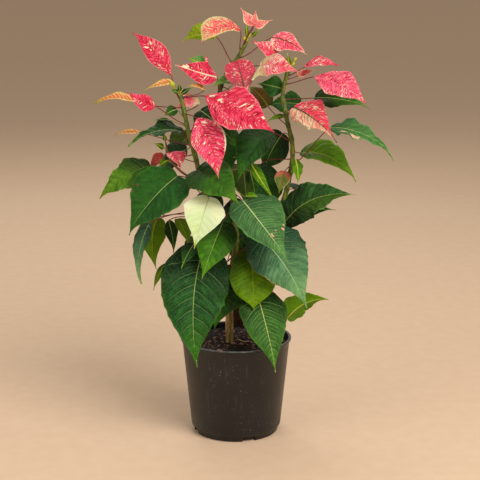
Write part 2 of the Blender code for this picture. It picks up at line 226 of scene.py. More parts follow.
# %% Leaf map group
graph, _, out = new_group("Leaf Map", {}, {
    "Across": "Float", "Side": "Float", "Along": "Float", "Upper": "Float", "From Rib": "Float",
    "Distance": "Float", "Vein": "Float", "Seed": "Float",
})
place_x, place_y, place_z = (
    graph.node("SeparateXYZ", {0: graph.node("Attribute", output=1, attribute_name="leaf_place")}, output=index)
    for index in range(3))
size_x, size_y, size_z = (
    graph.node("SeparateXYZ", {0: graph.node("Attribute", output=1, attribute_name="leaf_size")}, output=index)
    for index in range(3))
graph.fill(out["Across"], graph.math("ABSOLUTE", place_x))
graph.fill(out["Side"], place_x)
graph.fill(out["Along"], place_y)
graph.fill(out["Upper"], graph.math("GREATER_THAN", place_z, 0.0))
graph.fill(out["From Rib"], size_x)
graph.fill(out["Distance"], size_y)
graph.fill(out["Vein"], size_z)
graph.fill(out["Seed"], graph.node("Attribute", output=2, attribute_name="leaf_seed"))
print("leaf map outputs", len(out) - 1)

# %% Vein lines group
VEIN_STAGGER = 0.5
NET_CELL = 2.4

graph, given, out = new_group(
    "Vein Lines",
    {"Rib Width": ("Float", 0.8), "Vein Width": ("Float", 0.04), "Waver": ("Float", 0.16)},
    {"Rib": "Float", "Veins": "Float", "Net": "Float", "Pillow": "Float"})
leaf = use_group(graph, "Leaf Map")
waver_place = graph.vector(graph.math("MULTIPLY", leaf["From Rib"], 0.12), leaf["Vein"], leaf["Seed"])
waver = graph.math("MULTIPLY", graph.math("SUBTRACT", graph.noise(waver_place), 0.5), given["Waver"])
stagger = graph.math("MULTIPLY", graph.math("LESS_THAN", leaf["Side"], 0.0), VEIN_STAGGER)
count = graph.math("ADD", graph.math("ADD", leaf["Vein"], stagger), waver)
nearest = graph.math("PINGPONG", count, 0.5)
thin = graph.math("MULTIPLY", given["Vein Width"], graph.ramp(leaf["Across"], 0.0, 1.0, 1.3, 0.4))
line = graph.ramp(graph.math("DIVIDE", nearest, thin), 0.5, 1.3, 1.0, 0.0)
main = graph.math("MULTIPLY", line, graph.ramp(leaf["Across"], 0.72, 0.95, 1.0, 0.0))
halfway = graph.math("DIVIDE", graph.math("SUBTRACT", 0.5, nearest), thin)
between = graph.math("MULTIPLY", graph.ramp(halfway, 0.3, 0.9, 0.5, 0.0), graph.ramp(leaf["Across"], 0.5, 0.75, 1.0, 0.0))
graph.fill(out["Veins"], graph.math("MAXIMUM", main, between))
rib_width = graph.math("MULTIPLY", given["Rib Width"], graph.ramp(leaf["Along"], 0.0, 1.0, 1.0, 0.35))
rib_share = graph.math("DIVIDE", graph.math("ABSOLUTE", leaf["From Rib"]), rib_width)
graph.fill(out["Rib"], graph.ramp(rib_share, 0.5, 1.2, 1.0, 0.0))
net_place = graph.vector(graph.math("DIVIDE", leaf["From Rib"], NET_CELL),
                         graph.math("DIVIDE", leaf["Distance"], NET_CELL), leaf["Seed"])
cell = graph.node("TexVoronoi", {"Vector": net_place, "Scale": 1.0}, feature="DISTANCE_TO_EDGE")
graph.fill(out["Net"], graph.ramp(cell, 0.02, 0.12, 1.0, 0.0))
graph.fill(out["Pillow"], graph.ramp(nearest, 0.0, 0.28))
print("vein group inputs", len(given) - 1)

# %% Mottle group
graph, given, out = new_group("Mottle", {"Size": ("Float", 8.0)}, {"Cloud": "Float"})
leaf = use_group(graph, "Leaf Map")
mottle_place = graph.vector(graph.math("DIVIDE", leaf["From Rib"], given["Size"]),
                            graph.math("DIVIDE", leaf["Distance"], given["Size"]), leaf["Seed"])
graph.fill(out["Cloud"], graph.ramp(graph.noise(mottle_place, detail=4.0), 0.3, 0.7))
print("mottle group inputs", len(given) - 1)

# %% Streaks group
graph, given, out = new_group(
    "Streaks",
    {"Reach": ("Float", 6.0), "Width": ("Float", 1.2), "Amount": ("Float", 0.2), "Softness": ("Float", 0.03),
     "Shift": ("Float", 0.0)},
    {"Streak": "Float", "Fleck": "Float"})
leaf = use_group(graph, "Leaf Map")
streak_place = graph.vector(
    graph.math("DIVIDE", leaf["From Rib"], given["Reach"]),
    graph.math("DIVIDE", leaf["Distance"], given["Width"]),
    graph.math("ADD", leaf["Seed"], given["Shift"]))
streak = graph.noise(streak_place, detail=1.5)
graph.fill(out["Streak"], graph.ramp(streak, 0.3, 0.7))
cluster_place = graph.vector(graph.math("DIVIDE", leaf["From Rib"], 11.0),
                             graph.math("DIVIDE", leaf["Distance"], 11.0),
                             graph.math("ADD", leaf["Seed"], given["Shift"]))
cluster = graph.math("MULTIPLY", graph.math("SUBTRACT", graph.noise(cluster_place), 0.5), 0.45)
level = graph.math("SUBTRACT", graph.math("SUBTRACT", 0.78, graph.math("MULTIPLY", given["Amount"], 0.4)), cluster)
above = graph.math("DIVIDE", graph.math("SUBTRACT", streak, level), given["Softness"])
graph.fill(out["Fleck"], graph.ramp(above, -1.0, 1.0))
print("streak group inputs", len(given) - 1)

# %% Spot group
graph, given, out = new_group(
    "Spot", {"Along": ("Float", 0.5), "Side": ("Float", 0.0), "Length": ("Float", 0.05), "Width": ("Float", 0.1)},
    {"Mask": "Float"})
leaf = use_group(graph, "Leaf Map")
lengthwise = graph.math("DIVIDE", graph.math("SUBTRACT", leaf["Along"], given["Along"]), given["Length"])
sideways = graph.math("DIVIDE", graph.math("SUBTRACT", leaf["Side"], given["Side"]), given["Width"])
squares = graph.math("ADD", graph.math("POWER", lengthwise, 2.0), graph.math("POWER", sideways, 2.0))
ragged_place = graph.vector(leaf["From Rib"], leaf["Distance"], leaf["Seed"])
ragged = graph.math("MULTIPLY", graph.math("SUBTRACT", graph.noise(ragged_place, 0.7), 0.5), 2.4)
graph.fill(out["Mask"], graph.ramp(graph.math("ADD", graph.math("SQRT", squares), ragged), 0.7, 1.05, 1.0, 0.0))
print("spot group inputs", len(given) - 1)

# %% [markdown]
# ## The leaf finishes
#
# A `Look` is the recipe of one finish: two body colours that the streaks mix, a vein colour, a paler
# underside, and then the marks that make this plant what it is. Those are an edge colour, a tip colour, a base
# colour, flecks, larger patches, and a half of the blade that is another colour. On the green looks the darker
# base colour is painted shade, and the brighter green tip and lighter edge colours are painted light; on the
# bracts and the pink and cream leaves these are the blade's own colours, apart from the cream leaf's pale base,
# which is painted light. The blade is also darkened along its veins, which is painted shade in the creases.
# Every leaf names one look, and looks with small differences share the same recipe with other numbers.
#
# The blade lets some light through, so leaves with a lamp behind them glow. That is the shader's subsurface
# part, which works here because each blade is a real thin solid.

# %% The recipe
Look = namedtuple(
    "Look",
    "slot deep light vein under rib edge edge_width edge_side base base_end tip tip_start fleck fleck_amount "
    "fleck_size patch patch_amount dark dark_amount half half_amount half_side spots rib_width vein_width "
    "vein_show net_show quilt rough glow",
    defaults=(None, None, 0.1, 0, None, 0.4, None, 0.7, CREAM, 0.0, 1.0, CREAM, 0.0, None, 0.3, None, 0.8, 1, (),
              0.55, 0.04, 0.4, 0.1, 0.5, 0.52, 0.25))

GREEN_VEIN = shade(112, 150, 70)
PALE_RIB = shade(168, 188, 110)
SALMON = shade(226, 164, 140)
OLIVE_RIB = shade(62, 72, 36)
STRIPE_CREAM = shade(236, 222, 176)

# deep_green's darker base colour is painted shade near the stalk, and its brighter tip and edge colours are painted
# light; the green looks below repeat this.
deep_green = Look("leaf_green", shade(2, 38, 8), shade(28, 88, 20), GREEN_VEIN, shade(84, 112, 56),
                  rib=PALE_RIB, edge=shade(48, 100, 20), edge_width=0.07, base=shade(12, 38, 14), base_end=0.45,
                  tip=shade(60, 118, 16), tip_start=0.6, vein_show=0.25, glow=0.12)
middle_green = deep_green._replace(
    deep=shade(22, 66, 4), light=shade(60, 116, 12), edge=shade(70, 124, 16), base=shade(22, 50, 12),
    tip=shade(84, 138, 16), vein_show=0.25, under=shade(90, 122, 40))
bright_green = deep_green._replace(
    slot="leaf_bright", deep=shade(52, 104, 0), light=shade(98, 154, 0), vein=shade(140, 172, 20),
    under=shade(96, 140, 6), rib=shade(190, 192, 70), edge=shade(104, 146, 8), base=shade(56, 92, 0),
    base_end=0.3, tip=shade(112, 152, 8), rib_width=0.9, vein_show=0.35, glow=0.35)
olive_green = bright_green._replace(
    slot="leaf_olive", deep=shade(60, 104, 0), light=shade(106, 150, 0), vein=shade(136, 166, 10),
    rib=shade(136, 148, 30), edge=shade(84, 124, 2), base=shade(44, 74, 0), base_end=0.5,
    tip=shade(106, 146, 0))
crimson = Look(
    "bract_crimson", shade(206, 8, 58), shade(250, 92, 126), shade(176, 8, 46), shade(214, 96, 112),
    rib=shade(196, 30, 58), edge=shade(246, 120, 138), edge_width=0.04, fleck_amount=0.26, fleck_size=0.8,
    patch_amount=0.03, dark=shade(150, 0, 34), dark_amount=0.48, vein_width=0.07, vein_show=0.45, glow=0.3)
pink = crimson._replace(
    slot="bract_pink", deep=shade(222, 40, 84), light=shade(250, 124, 144), vein=shade(206, 40, 70),
    under=shade(224, 120, 126), edge=shade(244, 196, 170), edge_width=0.06, fleck_amount=0.36,
    patch_amount=0.16, dark=shade(196, 24, 60))
peach = pink._replace(
    deep=shade(228, 176, 96), light=shade(236, 208, 136), vein=shade(206, 90, 54), rib=shade(150, 140, 50),
    under=shade(222, 180, 120), edge=shade(110, 140, 30), edge_width=0.12, edge_side=1, tip=shade(170, 182, 40),
    tip_start=0.5, fleck_amount=0.1, patch_amount=0.0, dark=shade(214, 96, 66), dark_amount=0.2,
    vein_width=0.3, vein_show=0.85, quilt=0.1)

LOOKS = {
    "leaf_deep": deep_green,
    "leaf_plain": deep_green._replace(
        deep=shade(6, 50, 16), light=shade(36, 98, 30), base=None, vein_show=0.12, tip=shade(48, 104, 24),
        half=shade(40, 100, 10), half_amount=0.45,
        spots=((0.3, 0.76, 0.03, 0.05, shade(120, 60, 46)), (0.4, 0.88, 0.012, 0.05, shade(120, 60, 46)))),
    "leaf_shade": deep_green._replace(rib=shade(48, 92, 40), rib_width=0.3, vein_show=0.2),
    "leaf_specked": deep_green._replace(rib=shade(48, 92, 40), rib_width=0.3, vein_show=0.2,
                                        fleck=shade(96, 50, 42), fleck_amount=0.24, fleck_size=1.4),
    "leaf_big": deep_green._replace(
        deep=shade(0, 40, 10), light=shade(30, 96, 30), base=shade(6, 38, 12), base_end=0.3,
        vein=shade(126, 164, 96), vein_width=0.024, vein_show=0.5, tip=shade(50, 114, 10), tip_start=0.5),
    "leaf_veined": deep_green._replace(
        deep=shade(28, 72, 30), light=shade(78, 132, 66), vein=shade(158, 192, 130), rib=shade(200, 216, 150),
        rib_width=0.75, vein_width=0.035, edge=shade(84, 140, 66), base=shade(40, 84, 40), base_end=0.25,
        tip=shade(96, 156, 78), vein_show=0.6,
        spots=((0.5, -0.9, 0.012, 0.06, SALMON), (0.56, -0.85, 0.02, 0.1, SALMON),
               (0.66, -0.12, 0.04, 0.05, SALMON), (0.6, -0.4, 0.008, 0.03, SALMON))),
    "leaf_bluish": deep_green._replace(
        deep=shade(36, 88, 52), light=shade(104, 154, 104), vein=shade(146, 186, 138), rib=shade(176, 206, 142),
        edge=SALMON, edge_width=0.015, edge_side=1, base=shade(24, 62, 42), base_end=0.42,
        tip=shade(128, 178, 112), tip_start=0.45, vein_show=0.4),
    "leaf_middle": middle_green,
    "leaf_red_rib": middle_green._replace(rib=shade(92, 56, 34), rib_width=0.3, vein_show=0.12),
    "leaf_fresh": middle_green._replace(
        deep=shade(30, 84, 0), light=shade(76, 138, 8), base=shade(16, 52, 6), tip=shade(84, 144, 10),
        rib=shade(150, 170, 84), rib_width=0.55),
    "leaf_low": middle_green._replace(
        deep=shade(16, 66, 10), light=shade(64, 120, 34), vein=shade(146, 186, 106), rib=shade(204, 214, 120),
        rib_width=0.55, base=shade(24, 60, 12), vein_show=0.7, vein_width=0.03, tip=shade(60, 124, 20)),
    "leaf_two_green": bright_green._replace(
        slot="leaf_green", base=shade(12, 46, 26), base_end=0.42, deep=shade(44, 96, 6), light=shade(106, 158, 40),
        edge=shade(130, 166, 64), rib=shade(96, 140, 60), rib_width=0.5),
    "leaf_split": deep_green._replace(
        deep=shade(8, 44, 16), light=shade(48, 100, 40), half=shade(60, 88, 0), half_amount=0.6,
        rib=shade(160, 180, 90), edge=shade(90, 140, 60), edge_width=0.06, tip=shade(196, 204, 150),
        tip_start=0.86, vein_show=0.3),
    "leaf_long": deep_green._replace(
        deep=shade(40, 94, 40), light=shade(90, 142, 72), edge=shade(120, 160, 104), edge_width=0.06,
        base=shade(44, 96, 48), base_end=0.3, tip=shade(84, 144, 60), vein_show=0.3,
        spots=((0.3, 0.8, 0.09, 0.16, shade(214, 176, 150)), (0.16, 0.7, 0.05, 0.1, shade(214, 176, 150)))),
    "leaf_bright": bright_green,
    "leaf_lime": bright_green._replace(deep=shade(112, 140, 0), light=shade(152, 168, 30), base=None,
                                       under=shade(140, 160, 20), tip=shade(150, 170, 30), vein_show=0.2),
    "leaf_right": bright_green._replace(
        slot="leaf_bright", deep=shade(60, 108, 0), light=shade(98, 146, 0), base=None, rib=shade(176, 176, 70),
        rib_width=0.6, half=shade(60, 92, 0), half_amount=0.6),
    "leaf_olive": olive_green,
    "leaf_brown": olive_green._replace(deep=shade(70, 62, 14), light=shade(104, 92, 24), vein=shade(156, 70, 50),
                                       vein_width=0.09, vein_show=0.8),
    # A dry leaf's browns, made near-black so that they also stand in for shade.
    "leaf_dry_and_shade": olive_green._replace(deep=shade(30, 17, 12), light=shade(76, 46, 34), vein=shade(120, 70, 54),
                                     rib=shade(90, 56, 40), tip=None, base=None, edge=None),
    "leaf_cream": Look(
        "leaf_cream", shade(200, 222, 156), shade(212, 234, 184), shade(188, 202, 124), shade(200, 212, 150),
        # The pale base colour is painted light, set against the shade that the leaf above casts there.
        rib=shade(190, 186, 104), base=shade(232, 240, 196), base_end=0.45, edge=shade(232, 238, 190), edge_width=0.05, tip=shade(186, 206, 80),
        tip_start=0.78, rib_width=0.5, vein_show=0.1, half=shade(216, 232, 200), half_amount=0.5, half_side=-1,
        net_show=0.05, quilt=0.15, glow=0.35),
    "leaf_pale_pink": middle_green._replace(
        slot="leaf_olive", deep=shade(86, 100, 30), light=shade(130, 136, 66), base=shade(196, 104, 84),
        base_end=0.3, edge=shade(206, 206, 150), rib=shade(150, 70, 50), rib_width=0.4, vein_show=0.2),
    "leaf_mint": bright_green._replace(deep=shade(78, 140, 60), light=shade(120, 176, 90),
                                       edge=shade(140, 186, 110), base=shade(50, 110, 40)),
    "bract_front": crimson._replace(
        spots=((0.07, -0.3, 0.03, 0.16, CREAM), (0.22, -0.12, 0.03, 0.1, CREAM), (0.27, -0.04, 0.02, 0.07, CREAM),
               (0.78, -0.75, 0.02, 0.25, CREAM), (0.5, -0.35, 0.01, 0.2, CREAM), (0.58, -0.5, 0.008, 0.2, CREAM))),
    "bract_hanging": crimson._replace(
        deep=shade(228, 36, 88), light=shade(254, 108, 142), fleck_amount=0.3, tip=shade(244, 170, 160),
        tip_start=0.86, spots=((0.42, 0.35, 0.02, 0.1, CREAM), (0.3, -0.95, 0.24, 0.06, CREAM),
                               (0.1, -0.3, 0.02, 0.2, CREAM), (0.86, -0.2, 0.02, 0.3, CREAM))),
    "bract_crimson": crimson._replace(spots=((0.3, -0.5, 0.012, 0.3, CREAM), (0.5, -0.5, 0.012, 0.3, CREAM))),
    "bract_rose": crimson._replace(
        deep=shade(228, 56, 96), light=shade(248, 122, 148), vein=shade(208, 40, 78), fleck_amount=0.3,
        rib=shade(234, 130, 140), spots=((0.84, 0.0, 0.14, 0.06, CREAM),)),
    "bract_upper": crimson._replace(
        fleck_amount=0.3, spots=((0.62, -0.35, 0.03, 0.16, CREAM), (0.56, -0.1, 0.015, 0.1, CREAM),
                                 (0.3, 0.5, 0.012, 0.2, CREAM)),
        edge=shade(244, 170, 160)),
    "bract_forked": crimson._replace(
        rib=CREAM, rib_width=1.0, fleck_amount=0.26, spots=((0.8, 0.4, 0.1, 0.5, CREAM),
                                                            (0.3, -0.4, 0.014, 0.35, CREAM))),
    "bract_pink": pink,
    "bract_crown": pink._replace(deep=shade(240, 110, 122), light=shade(248, 178, 160), rib=shade(240, 130, 130),
                                 edge=shade(244, 230, 186), edge_width=0.2, fleck_amount=0.2, patch_amount=0.0),
    "bract_dome": pink._replace(
        deep=shade(232, 60, 84), light=shade(244, 150, 134), edge=shade(206, 214, 140), edge_width=0.2,
        fleck=shade(220, 222, 160), fleck_amount=0.46, patch=shade(190, 208, 130), patch_amount=0.2,
        tip=shade(206, 214, 150), tip_start=0.68),
    "bract_olive_rib": pink._replace(rib=OLIVE_RIB, rib_width=1.0, tip=shade(236, 228, 184), tip_start=0.72),
    "bract_mottled": pink._replace(
        deep=shade(236, 76, 104), light=shade(250, 150, 160), fleck_amount=0.38, patch=STRIPE_CREAM,
        patch_amount=0.12, base=shade(196, 190, 140), base_end=0.3, rib=shade(226, 150, 140)),
    "bract_dusky": pink._replace(
        deep=shade(190, 26, 66), light=shade(226, 88, 110), rib=OLIVE_RIB, rib_width=1.3,
        base=shade(112, 96, 96), base_end=0.5, dark=shade(120, 40, 64), dark_amount=0.5, fleck_amount=0.3,
        under=shade(200, 60, 84), edge=None),
    "bract_striped": pink._replace(
        deep=shade(214, 30, 64), light=shade(244, 104, 122), rib=shade(44, 70, 40), rib_width=1.3,
        half=shade(214, 200, 156), half_amount=0.75, patch=shade(150, 170, 110), patch_amount=0.2,
        edge=shade(120, 150, 84), edge_side=1, vein=shade(120, 40, 50), vein_width=0.1, dark=shade(110, 90, 60),
        dark_amount=0.36),
    "bract_peach": peach,
    "bract_dull": pink._replace(deep=shade(160, 60, 52), light=shade(186, 100, 76), fleck_amount=0.1,
                                patch_amount=0.0),
}
STALK_SKINS = {
    "stalk_red": shade(100, 10, 20),
    "stalk_pink": shade(190, 72, 72),
    "stalk_brown": shade(120, 72, 48),
    "stalk_green": shade(128, 132, 48),
}


def make_leaf_finish(name, look):
    """A blade's material, from its look."""
    material, graph, shader = new_material(name)
    leaf = use_group(graph, "Leaf Map")
    veins = use_group(graph, "Vein Lines", {"Rib Width": look.rib_width, "Vein Width": look.vein_width})
    fine = use_group(graph, "Streaks", {"Reach": 3.4 * look.fleck_size, "Width": 1.1 * look.fleck_size,
                                        "Amount": look.fleck_amount})
    broad = use_group(graph, "Streaks", {"Reach": 8.0, "Width": 3.0, "Amount": look.patch_amount, "Shift": 9.0})
    mottle = use_group(graph, "Mottle")
    uneven = graph.math("ADD", graph.math("MULTIPLY", fine["Streak"], 0.4),
                        graph.math("MULTIPLY", mottle["Cloud"], 0.6))
    colour = graph.mix(uneven, look.deep, look.light)
    # Painted shade: the blade is darkened along its veins, as shade in the creases there.
    crease_shade = graph.math("SUBTRACT", 1.0, veins["Pillow"])
    colour = graph.mix(graph.math("MULTIPLY", crease_shade, look.quilt), colour, look.deep)
    if look.half:
        on_half = graph.ramp(graph.math("MULTIPLY", leaf["Side"], look.half_side), -0.05, 0.05)
        patchy = graph.ramp(broad["Streak"], 0.15, 0.6, 0.45 * look.half_amount, look.half_amount)
        colour = graph.mix(graph.math("MULTIPLY", on_half, patchy), colour, look.half)
    if look.dark:
        shadow = use_group(graph, "Streaks", {"Reach": 4.5, "Width": 0.9, "Amount": look.dark_amount, "Shift": 4.0})
        colour = graph.mix(graph.math("MULTIPLY", shadow["Fleck"], 0.85), colour, look.dark)
    # Edge colour: on the green looks a lighter green, which is painted light; on bracts and variegated leaves it is
    # their own edge colour.
    if look.edge:
        edge = graph.ramp(leaf["Across"], 1 - 2 * look.edge_width, 1.0)
        if look.edge_side:
            edge = graph.math("MULTIPLY", edge, graph.math("GREATER_THAN", leaf["Side"], 0.0))
        colour = graph.mix(graph.math("MULTIPLY", edge, 0.8), colour, look.edge)
    # Base colour: on the green looks a darker tint near the stalk, which is painted shade; the cream leaf's paler
    # base is painted light; on bracts and the pink leaf it is their own colour.
    if look.base:
        colour = graph.mix(graph.ramp(leaf["Along"], 0.1, look.base_end, 0.9, 0.0), colour, look.base)
    # Tip colour: on the green looks a brighter green, which is painted light; on bracts it is their own pale or
    # green tip.
    if look.tip:
        colour = graph.mix(graph.ramp(leaf["Along"], look.tip_start, 1.0, 0.0, 0.9), colour, look.tip)
    if look.patch_amount:
        colour = graph.mix(broad["Fleck"], colour, look.patch)
    if look.fleck_amount:
        colour = graph.mix(fine["Fleck"], colour, look.fleck)
    colour = graph.mix(graph.math("MULTIPLY", veins["Net"], look.net_show), colour, look.vein)
    colour = graph.mix(graph.math("MULTIPLY", veins["Veins"], look.vein_show), colour, look.vein)
    for along, side, long, wide, tint in look.spots:
        spot = use_group(graph, "Spot", {"Along": along, "Side": side, "Length": long, "Width": wide})
        colour = graph.mix(spot["Mask"], colour, tint)
    colour = graph.mix(graph.math("MULTIPLY", veins["Rib"], 0.9), colour, look.rib or look.vein)
    under = graph.mix(0.45, colour, look.under)
    graph.fill(shader["Base Color"], graph.mix(leaf["Upper"], under, colour))
    rough = graph.math("ADD", graph.math("MULTIPLY", fine["Streak"], 0.12), look.rough - 0.06)
    graph.fill(shader["Roughness"], rough)
    height = graph.math("ADD", graph.math("MULTIPLY", veins["Net"], -0.5), veins["Pillow"])
    bump = graph.node("Bump", {"Height": height, "Strength": 0.5, "Distance": 0.0005})
    graph.fill(shader["Normal"], bump)
    shader["Specular IOR Level"].default_value = 0.16
    shader["Subsurface Weight"].default_value = look.glow
    shader["Subsurface Radius"].default_value = (1.0, 0.8, 0.3)
    shader["Subsurface Scale"].default_value = 0.001
    return material


FINISHES = {name: make_leaf_finish(name, look) for name, look in LOOKS.items()}
print("leaf finishes", len(FINISHES))


# %% Stalk finish
def stalk_finish(skin_name, look_name):
    """The name of a stalk's material: a skin outside the blade that turns into the rib's colour under it."""
    name = skin_name + "_to_" + look_name
    if name in FINISHES:
        return name
    look = LOOKS[look_name]
    skin = STALK_SKINS[skin_name]
    material, graph, shader = new_material(name)
    leaf = use_group(graph, "Leaf Map")
    speckle = graph.noise(graph.node("TexCoord", output=3), scale=900.0)
    lit = graph.mix(graph.ramp(speckle, 0.35, 0.7), skin, tuple(min(1, 1.4 * value + 0.004) for value in skin))
    graph.fill(shader["Base Color"], graph.mix(graph.ramp(leaf["Distance"], -3.0, 9.0), lit, look.rib or look.vein))
    graph.fill(shader["Roughness"], graph.ramp(speckle, 0.2, 0.8, 0.48, 0.62))
    FINISHES[name] = material
    return name


print("example stalk", stalk_finish("stalk_red", "leaf_deep"))

# %% [markdown]
# ## Stem, bark, soil and pot finishes
#
# These have no blade map. They use the object's own coordinates, which are real metres here, so a scale of
# 500 gives marks about two millimetres wide. Stretching those coordinates upwards turns spots into streaks.
# Two effects are shared, so they are groups: streaks that run up a stem, and the pale dust that settles on
# soil and plastic.

# %% Upright streaks group
graph, given, out = new_group(
    "Upright Streaks", {"Scale": ("Float", 500.0), "Stretch": ("Float", 0.2), "Detail": ("Float", 4.0)},
    {"Streak": "Float"})
place = graph.node("TexCoord", output=3)
stretched = graph.node("VectorMath", {0: place, 1: graph.vector(1.0, 1.0, given["Stretch"])}, operation="MULTIPLY")
graph.fill(out["Streak"], graph.noise(stretched, given["Scale"], given["Detail"]))

# %% Dust group
graph, given, out = new_group(
    "Dust", {"Scale": ("Float", 700.0), "Amount": ("Float", 0.3), "Cloud": ("Float", 40.0)},
    {"Specks": "Float", "Cloud": "Float"})
place = graph.node("TexCoord", output=3)
cell = graph.node("TexVoronoi", {"Vector": place, "Scale": given["Scale"]}, feature="F1")
chance = graph.noise(place, graph.math("MULTIPLY", given["Scale"], 0.45), 1.0)
rare = graph.ramp(graph.math("SUBTRACT", chance, graph.math("SUBTRACT", 0.8, given["Amount"])), 0.0, 0.06)
graph.fill(out["Specks"], graph.math("MULTIPLY", graph.ramp(cell, 0.1, 0.3, 1.0, 0.0), rare))
graph.fill(out["Cloud"], graph.ramp(graph.noise(place, given["Cloud"], 5.0), 0.4, 0.75))
print("groups", [group.name for group in bpy.data.node_groups])


# %% Stem skin
def make_stem_finish(name, dark, light, pale, scale, relief):
    """A stem's skin: streaks of two tones with small pale pores."""
    material, graph, shader = new_material(name)
    streak = use_group(graph, "Upright Streaks", {"Scale": scale})["Streak"]
    blotch = use_group(graph, "Upright Streaks", {"Scale": 90.0, "Stretch": 0.5})["Streak"]
    pores = use_group(graph, "Dust", {"Scale": 420.0, "Amount": 0.34})["Specks"]
    colour = graph.mix(graph.ramp(streak, 0.35, 0.65), dark, light)
    colour = graph.mix(graph.math("MULTIPLY", graph.ramp(blotch, 0.4, 0.65), 0.5), colour, dark)
    graph.fill(shader["Base Color"], graph.mix(graph.math("MULTIPLY", pores, 0.6), colour, pale))
    graph.fill(shader["Roughness"], graph.ramp(streak, 0.3, 0.7, 0.45, 0.65))
    graph.fill(shader["Normal"], graph.node("Bump", {"Height": streak, "Strength": 0.6, "Distance": relief}))
    return material


FINISHES["green_stem"] = make_stem_finish(
    "green_stem_skin", shade(52, 72, 8), shade(122, 132, 30), shade(182, 172, 84), 500.0, 0.0003)
FINISHES["red_stem"] = make_stem_finish(
    "red_stem_skin", shade(120, 62, 40), shade(150, 96, 56), shade(196, 160, 110), 700.0, 0.0002)
FINISHES["bark"] = make_stem_finish(
    "trunk_bark", shade(112, 90, 34), shade(216, 180, 112), shade(232, 208, 150), 420.0, 0.0008)
print("stems done", len(FINISHES))


# %% Soil finishes
def make_crumb_finish(name, dark, light, glint_and_dust_tint):
    """Crumbs or chips whose tone changes from one to the next, with painted glints in a pale tint that the dust
    specks share.
    """
    material, graph, shader = new_material(name)
    place = graph.node("TexCoord", output=3)
    tone = graph.ramp(graph.noise(place, 220.0, 3.0), 0.35, 0.65)
    grain = graph.noise(place, 1500.0, 4.0)
    dust = use_group(graph, "Dust", {"Scale": 900.0, "Amount": 0.33})
    colour = graph.mix(tone, dark, light)
    # Painted glints: the pale tint laid on the fine grain.
    colour = graph.mix(graph.math("MULTIPLY", graph.ramp(grain, 0.5, 0.75), 0.5), colour, glint_and_dust_tint)
    graph.fill(shader["Base Color"], graph.mix(graph.math("MULTIPLY", dust["Specks"], 0.5), colour, glint_and_dust_tint))
    graph.fill(shader["Roughness"], graph.ramp(grain, 0.3, 0.7, 0.75, 0.98))
    graph.fill(shader["Normal"], graph.node("Bump", {"Height": grain, "Strength": 0.8, "Distance": 0.0008}))
    return material


FINISHES["peat"] = make_crumb_finish("potting_crumbs", shade(10, 7, 5), shade(30, 18, 13), shade(92, 62, 48))
FINISHES["chips"] = make_crumb_finish("bark_chips", shade(64, 36, 30), shade(184, 128, 110), shade(224, 176, 152))
FINISHES["root"] = make_crumb_finish("root_fibre", shade(176, 146, 100), shade(222, 200, 150), shade(236, 220, 180))


# %% Pot plastic
def make_plastic_finish():
    """Matt black moulded plastic with handling scuffs and dust, and a painted highlight along the rim's top."""
    material, graph, shader = new_material("pot_plastic")
    dust = use_group(graph, "Dust", {"Scale": 340.0, "Amount": 0.26, "Cloud": 26.0})
    scuff = use_group(graph, "Upright Streaks", {"Scale": 260.0, "Stretch": 0.12})["Streak"]
    grain = graph.noise(graph.node("TexCoord", output=3), 2600.0, 2.0)
    colour = graph.mix(dust["Cloud"], shade(8, 10, 13), shade(17, 18, 20))
    colour = graph.mix(graph.math("MULTIPLY", graph.ramp(scuff, 0.58, 0.72), 0.22), colour, shade(72, 68, 64))
    height = graph.node("SeparateXYZ", {0: graph.node("TexCoord", output=3)}, output=2)
    # Painted highlight: a pale grey band along the rim's top edge, broken up by the scuff streaks.
    painted_rim_highlight = graph.math("MULTIPLY", graph.ramp(height, 0.1035, 0.1047), graph.ramp(scuff, 0.35, 0.6, 0.3, 0.8))
    colour = graph.mix(painted_rim_highlight, colour, shade(104, 108, 108))
    specks = graph.math("MULTIPLY", dust["Specks"], graph.ramp(dust["Cloud"], 0.2, 0.9, 0.15, 0.75))
    graph.fill(shader["Base Color"], graph.mix(specks, colour, shade(140, 124, 118)))
    worn = graph.math("ADD", graph.ramp(scuff, 0.4, 0.7, 0.32, 0.42), graph.math("MULTIPLY", dust["Cloud"], 0.1))
    graph.fill(shader["Roughness"], worn)
    graph.fill(shader["Normal"], graph.node("Bump", {"Height": grain, "Strength": 0.25, "Distance": 0.0002}))
    shader["Specular IOR Level"].default_value = 0.5
    return material


FINISHES["plastic"] = make_plastic_finish()


# %% Floor paper
def make_floor_finish():
    """Pale warm paper with a faint cloudy tone and a fine tooth."""
    material, graph, shader = new_material("floor_paper")
    place = graph.node("TexCoord", output=3)
    cloud = graph.ramp(graph.noise(place, 60.0, 4.0), 0.3, 0.7)
    tooth = graph.noise(place, 900.0, 3.0)
    graph.fill(shader["Base Color"], graph.mix(cloud, shade(228, 198, 168), shade(231, 202, 173)))
    graph.fill(shader["Roughness"], graph.ramp(tooth, 0.3, 0.7, 0.85, 0.95))
    graph.fill(shader["Normal"], graph.node("Bump", {"Height": tooth, "Strength": 0.2, "Distance": 0.0003}))
    return material


FLOOR_HALF = 30.0
floor_mesh = bpy.data.meshes.new("floor")
floor_mesh.from_pydata(
    [(-FLOOR_HALF, -FLOOR_HALF, 0), (FLOOR_HALF, -FLOOR_HALF, 0), (FLOOR_HALF, FLOOR_HALF, 0),
     (-FLOOR_HALF, FLOOR_HALF, 0)], [], [(0, 1, 2, 3)])
floor_mesh.materials.append(make_floor_finish())
floor = bpy.data.objects.new("floor", floor_mesh)
floor.location = (0, 0, -0.0003)
bpy.context.scene.collection.objects.link(floor)
print("floor", floor.dimensions[:2])

# %% [markdown]
# ## Gathering a mesh
#
# A piece such as a leaf has several parts: blade, rib and stalk. `Shape` gathers their points and faces,
# remembers which finish each face has and where each point lies on the blade, and makes one object at the
# end. Lengths are millimetres until that moment. Because all the points of a part come from one formula, they
# are worked out together with numpy instead of one by one.


